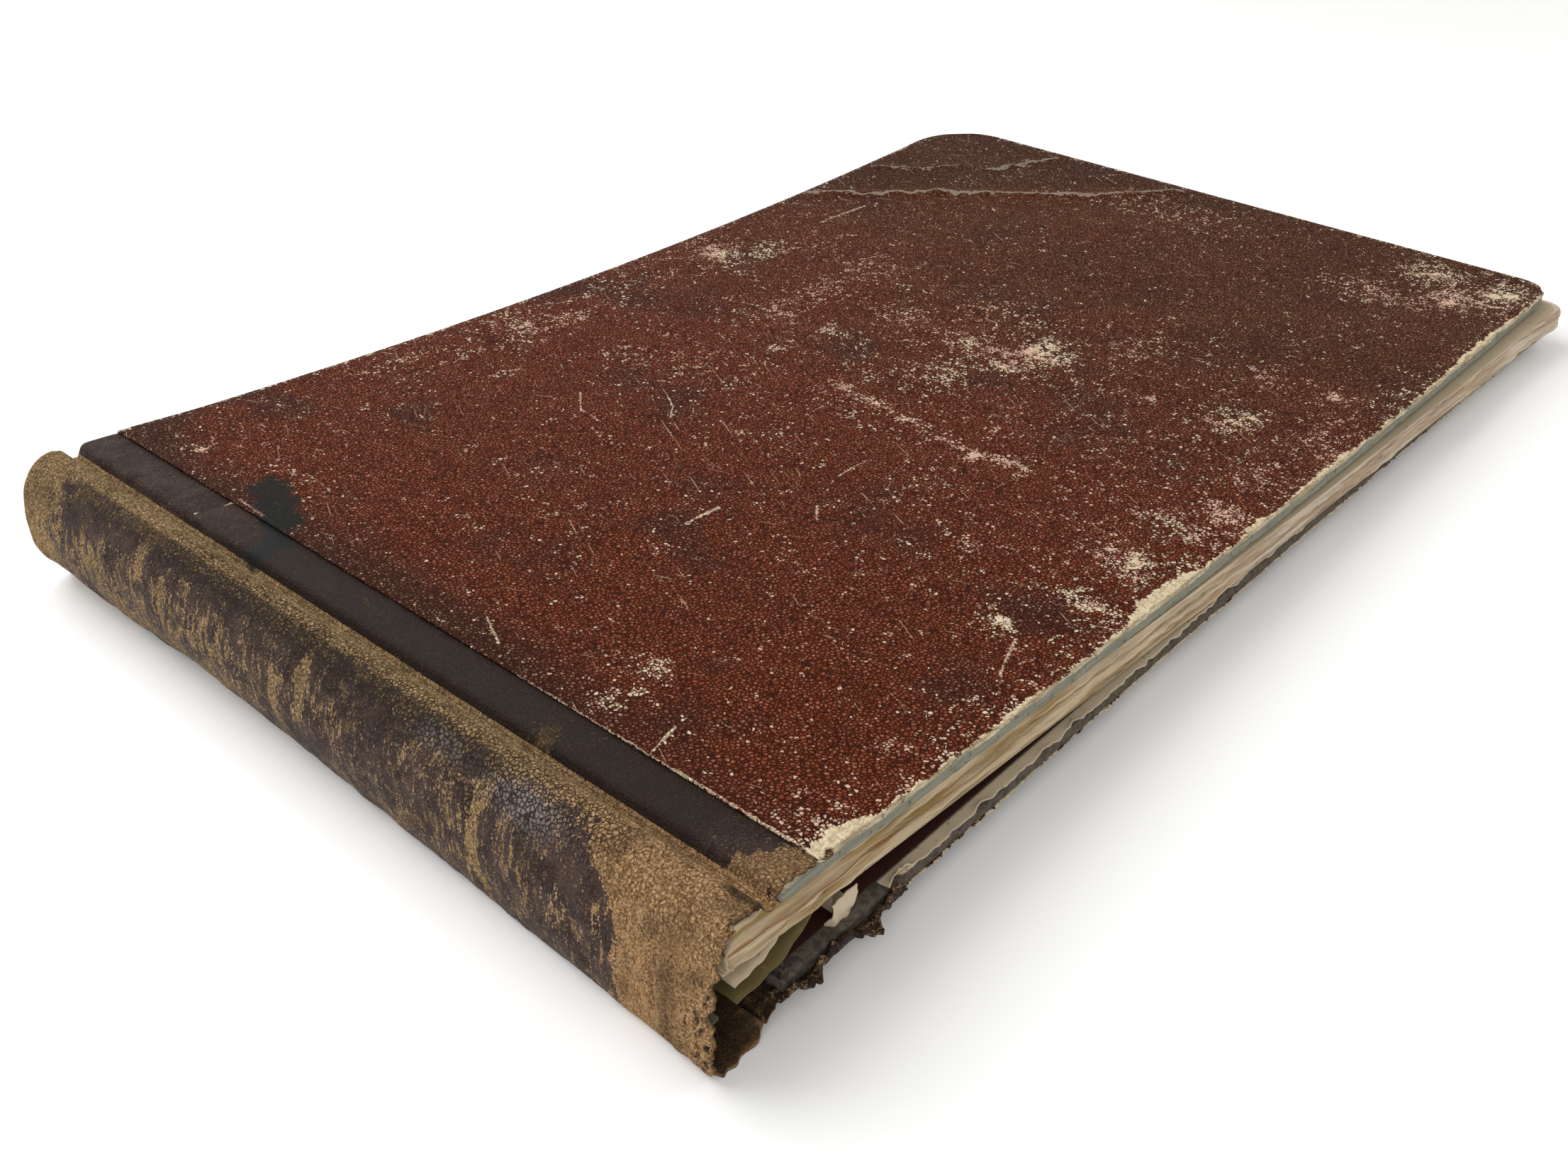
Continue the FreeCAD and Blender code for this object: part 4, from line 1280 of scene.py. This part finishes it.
def make_leaves():
    """The bundle of leaves with its layered edges; the stubs of the lost leaves are not made here."""
    tail = (WIDTH - LEAF_WIDTH) / 2
    loop = outline(-LEAF_BACK, LEAF_LENGTH - LEAF_BACK, tail, tail + LEAF_WIDTH, 4.0, 4.0, 1.8)
    tx, ty = turned(loop[:, 0], loop[:, 1])
    nx, ny = turned(loop[:, 0] + loop[:, 2], loop[:, 1] + loop[:, 3])
    loop = np.stack([tx, ty, nx - tx, ny - ty], 1)
    layers = 84
    shares = np.linspace(0, 1, layers)
    rings = [(6.0, 0.0), (0.8, 0.0), *[(0.0, share) for share in shares], (0.8, 1.0), (6.0, 1.0)]

    def height(px, py, share):
        top, bottom = leaf_top(px, py), leaf_bottom(px, py)
        return bottom + (top - bottom) * share

    middle = turned(np.array(LEAF_LENGTH / 2 - LEAF_BACK), np.array(WIDTH / 2))
    centre = tuple(float(value) for value in middle)
    piece = plate("leaves", loop, rings, height, material("leaves"), centre, inner=10)
    mesh = piece.data
    count = len(loop)
    rows = (len(mesh.vertices) - 2) // count
    places = np.array([v.co for v in mesh.vertices])
    body = places[:-2].reshape(rows, count, 3)
    first = rows // 2 - layers // 2
    layer_value = np.zeros((rows, count))
    layer_value[first:first + layers] = shares[:, None]
    layer_value[first + layers:] = 1.0
    along = np.cumsum(np.hypot(*np.diff(np.concatenate([loop[:1, :2], loop[:, :2]]), axis=0).T))
    rows_at = np.arange(rows)[:, None] * 1.0
    grid_along = np.broadcast_to(along[None, :], (rows, count))
    sheaf = np.floor(9 * layer_value + 0.7 * wave(grid_along, rows_at * 0, 80, 2.0))
    ridge = 0.8 * wave(grid_along, sheaf * 31.7, 45, 3.0) + 0.35 * wave(grid_along, sheaf * 17.3, 5.0, 4.0)
    ridge = ridge + 0.24 * wave(grid_along * 0.03, rows_at, 1.0, 5.0)
    corner = np.hypot(loop[:, 0] - loop[:, 0].max(), loop[:, 1] - loop[:, 1].min())
    ridge = np.clip(ridge, -1.8, 1.4) + 2.2 * bump(corner, 16)[None, :]
    active = ((layer_value > 0) & (layer_value < 1)) * 1.0
    ridge = ridge * active
    body[:, :, 0] += ridge * loop[:, 2] * MM
    body[:, :, 1] += ridge * loop[:, 3] * MM
    sag = 0.35 * wave(grid_along, rows_at * 0.6, 26, 5.0) * active * np.sin(math.pi * layer_value)
    body[:, :, 2] += sag * MM
    places[:-2] = body.reshape(-1, 3)
    mesh.vertices.foreach_set("co", places.ravel())
    rust = np.concatenate([rust_at(body, layer_value).ravel(), [0, 0]])
    paint(mesh, layer=np.concatenate([layer_value.ravel(), [0, 1]]), rust=rust)
    mesh.update()
    return dress(piece, "book_block", "page_edges", "text_block")


def sheet_piece(name, x, y, z, body, finish, thickness, flip=False):
    """Thin sheet from arrays of places, on a body."""
    points = np.stack([x, y, z], 2)
    piece = make_mesh(name, points, grid_faces(*x.shape, flip=flip), material(finish))
    thicken(piece, thickness, 0.0)
    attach(piece, body)
    return piece


# Curls of the torn paper as place along the tail, half width and rise
CURLS = (
    (33, 3.0, 2.4),
    (58, 2.0, 0.8),
    (92, 2.5, 0.9),
    (154, 3.2, 2.4),
    (169, 4.0, 2.8),
    (182, 2.5, 1.5),
    (236, 4.0, 1.2),
)


def make_torn_paper():
    """Torn edge of the lower cover's paper along the tail, with a few curls."""
    x = np.arange(29, 344, 0.8)[:, None]
    t = np.linspace(0, 1, 7)[None, :]
    curl = 0.5 + 0.5 * wave(x, 0, 7.0, 2.0) + 0.35 * wave(x, 0, 1.9, 4.0)
    for place, half, rise in CURLS:
        curl = curl + rise * bump(x - place, half) * (1 + 0.3 * wave(x, 0, 1.5, 9.0))
    curl = np.clip(curl, 0.05, 4.2)
    reach = 0.35 + 0.5 * wave(x, 0, 3.0, 5.0)
    y = 2.6 * (1 - t) - (0.25 + np.clip(reach, -0.2, 1.1)) * t + 0.35 * curl * t ** 3
    base = outer_height(LOWER, x, np.clip(y, 0, WIDTH)) + COVER_DEPTH - 0.35
    z = base + 0.15 + curl * t ** 2 * 0.62
    sheet_piece("torn_lining", x + 0 * t, y, z, "lower_cover", "torn_paper", 0.22)


def make_torn_leather():
    """Ragged leather that hangs from the lower cover's tail near the back."""
    x = np.arange(-1.5, 33, 0.45)[:, None]
    t = np.linspace(0, 1, 12)[None, :]
    out = 1.1 + 0.9 * wave(x, 0, 3.2, 2.0) + 0.6 * wave(x, 0, 1.1, 3.0)
    out = out + 2.4 * bump(x - 5, 3.2) + 3.4 * bump(x - 21.5, 2.6) - 0.6 * bump(x - 12, 3)
    out = np.clip(out, 0.3, 5.2)
    y = 2.5 - 2.8 * np.clip(t / 0.4, 0, 1) - out * smooth(0.35, 1.0, t)
    crumple = 0.55 * wave(x, y, 2.0, 5.0) * t
    low = outer_height(LOWER, np.clip(x, 0, None), np.clip(y, 0, WIDTH))
    z = low + 0.2 + 4.1 * smooth(0.35, 1.0, t) - 0.75 * out * smooth(0.55, 1.0, t) + crumple
    z = np.maximum(z, 0.3)
    piece = sheet_piece("torn_strip", x + 0 * t, y, z, "lower_cover", "leather", 0.9, True)
    paint(piece.data, rub=0.38, grime=0.35)
    grid = np.stack([x + 0 * t, y, z], 2)[:, 6:]
    crumbs("strip_crumbs", grid, "lower_cover", 2.4e5, 0.75)


def make_loose_leaves():
    """Folded yellowed leaf under the bundle, the bundle's soft end and the torn tongue."""
    s = np.linspace(0, 1, 26)[:, None]
    t = np.linspace(0, 1, 12)[None, :]
    x = -10.6 + 24 * s + 0 * t
    y = 1.2 + 15 * t + 0.5 * wave(x, 14 * t, 5, 1.0) * (1 - t) + 1.5 * s ** 2
    z = 12.2 + 6.0 * s - 2.2 * np.sin(math.pi * s) * (1 - 0.4 * t) + 0.3 * wave(x, y, 5, 2.0)
    sheet_piece("folded_leaf", x, y, z, "book_block", "old_leaf", 0.35)
    x = -10.2 + 15 * s + 0 * t
    z = 15.2 + 3.4 * s - 1.2 * np.sin(math.pi * s) + 0.25 * wave(x, 10 * t, 4, 6.0)
    sheet_piece("folded_leaf_under", x, y + 0.8, z, "book_block", "torn_paper", 0.3)
    turn = np.linspace(0, math.pi, 22)[None, :]
    along = np.linspace(0.2, 22, 22)[:, None]
    bulge = 1.9 * (1 - along / 60) + 0.15 * wave(along, turn * 2, 3, 2.0)
    x = -10.2 - bulge * np.sin(turn)
    z = 23.3 + 3.2 * np.cos(turn) + 0 * along
    y = along + 1.6 + 0.35 * wave(turn * 3, along * 0, 1.2, 3.0) + 0 * turn
    sheet_piece("sewn_fold", x, y, z, "book_block", "endpaper", 0.4)
    x = 14.5 + 7.0 * s + 0.3 * wave(s * 8, t * 4, 1.5, 3.0)
    drop = np.interp(s, [0, 0.2, 0.5, 0.8, 1.0], [6.0, 10.5, 9.0, 9.6, 4.0])
    y = 1.4 - 0.6 * np.sin(math.pi * t) + 2.0 * t ** 2 + 0.3 * wave(x, t * 9, 2, 4.0)
    z = 16.0 - drop * t + 0.2 * s
    sheet_piece("torn_tongue", x, y, z, "book_block", "torn_paper", 0.3)


def make_frayed_threads():
    """Short threads of the backing along the upper cloth's tail edge."""
    x = np.arange(10, 350, 1.0)[:, None]
    t = np.linspace(0, 1, 2)[None, :]
    y = 0.1 + 0.7 * t + 0.25 * wave(x, 0, 2.0, 3.0)
    z = outer_height(UPPER, x, y) + 0.05 * t
    grid = np.stack([x + 0 * t, y, z], 2)
    piece = scatter("frayed_threads", grid, "thread", 2.6e6, 1.5, 0.4, material("torn_paper"))
    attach(piece, "upper_cover")


def rust_at(body, layer_value):
    """Rusty line in the leaves near the spine at the tail."""
    x = (body[:, :, 0] - CORNER.x) / MM
    y = (body[:, :, 1] - CORNER.y) / MM
    near = smooth(110, 30, x) * smooth(10, 6, y)
    return near * bump(layer_value - 0.42 - 0.0006 * x, 0.035)


class DressOperator:
    bl_options = {"REGISTER", "UNDO"}


class LEDGER_OT_cloth(DressOperator, bpy.types.Operator):
    """Cloth sides of both covers"""
    bl_idname = "ledger.cloth"
    bl_label = "Cloth sides"

    def execute(self, context):
        for cover in (UPPER, LOWER):
            make_cloth(cover)
        return {"FINISHED"}


class LEDGER_OT_boards(DressOperator, bpy.types.Operator):
    """Millboards with worn edges"""
    bl_idname = "ledger.boards"
    bl_label = "Boards"

    def execute(self, context):
        for cover in (UPPER, LOWER):
            make_board(cover)
        return {"FINISHED"}


class LEDGER_OT_leather(DressOperator, bpy.types.Operator):
    """Leather back, joints and strips"""
    bl_idname = "ledger.leather"
    bl_label = "Leather"

    def execute(self, context):
        make_back()
        for cover in (UPPER, LOWER):
            make_strip(cover)
            make_joint(cover)
        return {"FINISHED"}


class LEDGER_OT_leaves(DressOperator, bpy.types.Operator):
    """Leaves with layered edges"""
    bl_idname = "ledger.leaves"
    bl_label = "Leaves"

    def execute(self, context):
        make_leaves()
        return {"FINISHED"}


PAINTED = {
    # Pastedowns take the dark lining, painted shade in the gap under the leaves
    "upper_pastedown": "shade_lining",
    "lower_pastedown": "shade_lining",
    "front_flyleaf": "endpaper",
    "rear_flyleaf": "endpaper",
    "spine_stiffener": "board",
    "spine_mull": "linen",
    "sewing_thread": "linen",
    "sewing_tape_1": "linen",
    "sewing_tape_2": "linen",
    "sewing_tape_3": "linen",
    "sewing_tape_4": "linen",
}


class LEDGER_OT_remains(DressOperator, bpy.types.Operator):
    """Torn leather, paper and threads at the tail"""
    bl_idname = "ledger.remains"
    bl_label = "Torn remains"

    def execute(self, context):
        make_torn_paper()
        make_torn_leather()
        make_loose_leaves()
        make_frayed_threads()
        return {"FINISHED"}


class LEDGER_OT_finish_inner(DressOperator, bpy.types.Operator):
    """Finishes of the pieces that keep their shape"""
    bl_idname = "ledger.finish_inner"
    bl_label = "Inner pieces"

    def execute(self, context):
        for name, finish in PAINTED.items():
            mesh = bpy.data.objects[name].data
            mesh.materials.clear()
            mesh.materials.append(material(finish))
        return {"FINISHED"}


class LEDGER_OT_stage(DressOperator, bpy.types.Operator):
    """Camera, lamps, floor and background"""
    bl_idname = "ledger.stage"
    bl_label = "Stage"

    def execute(self, context):
        scene = context.scene
        camera = bpy.data.objects.new("camera", bpy.data.cameras.new("camera"))
        camera.data.lens = 37.163
        camera.data.sensor_width = 36.0
        camera.data.clip_start = 0.01
        camera.location = Vector((-142.96, -128.98, 227.75)) * MM + CORNER
        camera.rotation_euler = [math.radians(a) for a in (55.100, 0.495, -48.523)]
        scene.collection.objects.link(camera)
        scene.camera = camera
        lamps = (
            ("window", (-0.25, 0.55, 0.85), 0.9, 9.0),
            ("fill", (-0.75, -0.55, 0.55), 0.9, 3.2),
            ("side", (0.75, -0.45, 0.5), 0.7, 2.0),
        )
        for name, place, size, power in lamps:
            lamp = bpy.data.objects.new(name, bpy.data.lights.new(name, "AREA"))
            lamp.data.size = size
            lamp.data.energy = power
            lamp.location = place
            lamp.rotation_euler = (-Vector(place)).to_track_quat("-Z", "Y").to_euler()
            scene.collection.objects.link(lamp)
        make_floor()
        make_world(scene)
        scene.view_settings.view_transform = "Standard"
        return {"FINISHED"}


def make_floor():
    """Pale floor that keeps the shadow."""
    reach = 3.0
    mesh = bpy.data.meshes.new("floor")
    corners = [(-reach, -reach, 0), (reach, -reach, 0), (reach, reach, 0), (-reach, reach, 0)]
    mesh.from_pydata(corners, [], [(0, 1, 2, 3)])
    floor = bpy.data.objects.new("floor", mesh)
    paper = bpy.data.materials.new("floor")
    paper.use_nodes = True
    shader = paper.node_tree.nodes["Principled BSDF"]
    shader.inputs["Base Color"].default_value = (0.93, 0.93, 0.93, 1)
    shader.inputs["Roughness"].default_value = 0.9
    shader.inputs["Specular IOR Level"].default_value = 0.1
    mesh.materials.append(paper)
    bpy.context.scene.collection.objects.link(floor)
    return floor


def make_world(scene):
    """Soft white light, and plain white behind the book."""
    world = bpy.data.worlds.new("studio")
    scene.world = world
    world.use_nodes = True
    tree = world.node_tree
    light = tree.nodes["Background"]
    light.inputs["Color"].default_value = (1.0, 0.99, 0.97, 1)
    light.inputs["Strength"].default_value = 0.5
    behind = tree.nodes.new("ShaderNodeBackground")
    behind.inputs["Strength"].default_value = 1.0
    behind.inputs["Color"].default_value = (1, 1, 1, 1)
    path = tree.nodes.new("ShaderNodeLightPath")
    mix = tree.nodes.new("ShaderNodeMixShader")
    seen = path.outputs["Is Camera Ray"]
    for ray in ("Is Glossy Ray", "Is Transmission Ray"):
        either = tree.nodes.new("ShaderNodeMath")
        either.operation = "MAXIMUM"
        tree.links.new(seen, either.inputs[0])
        tree.links.new(path.outputs[ray], either.inputs[1])
        seen = either.outputs[0]
    tree.links.new(seen, mix.inputs[0])
    tree.links.new(light.outputs[0], mix.inputs[1])
    tree.links.new(behind.outputs[0], mix.inputs[2])
    tree.links.new(mix.outputs[0], tree.nodes["World Output"].inputs[0])


class LEDGER_PT_panel(bpy.types.Panel):
    """Steps that dress the ledger"""
    bl_label = "Ledger"
    bl_idname = "LEDGER_PT_panel"
    bl_space_type = "VIEW_3D"
    bl_region_type = "UI"
    bl_category = "Ledger"

    def draw(self, context):
        for step in STEPS:
            self.layout.operator(step.bl_idname)


STEPS = (
    LEDGER_OT_boards,
    LEDGER_OT_cloth,
    LEDGER_OT_leather,
    LEDGER_OT_leaves,
    LEDGER_OT_remains,
    LEDGER_OT_finish_inner,
    LEDGER_OT_stage,
)
CLASSES = (LedgerSizes, LedgerColours, *STEPS, LEDGER_PT_panel)


def register():
    for kind in CLASSES:
        bpy.utils.register_class(kind)
    bpy.types.Scene.ledger_sizes = bpy.props.PointerProperty(type=LedgerSizes)
    bpy.types.Scene.ledger_colours = bpy.props.PointerProperty(type=LedgerColours)


def unregister():
    del bpy.types.Scene.ledger_sizes
    del bpy.types.Scene.ledger_colours
    for kind in reversed(CLASSES):
        bpy.utils.unregister_class(kind)


def main():
    register()
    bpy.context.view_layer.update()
    for step in STEPS:
        group, name = step.bl_idname.split(".")
        getattr(getattr(bpy.ops, group), name)()


if __name__ == "__main__":
    main()
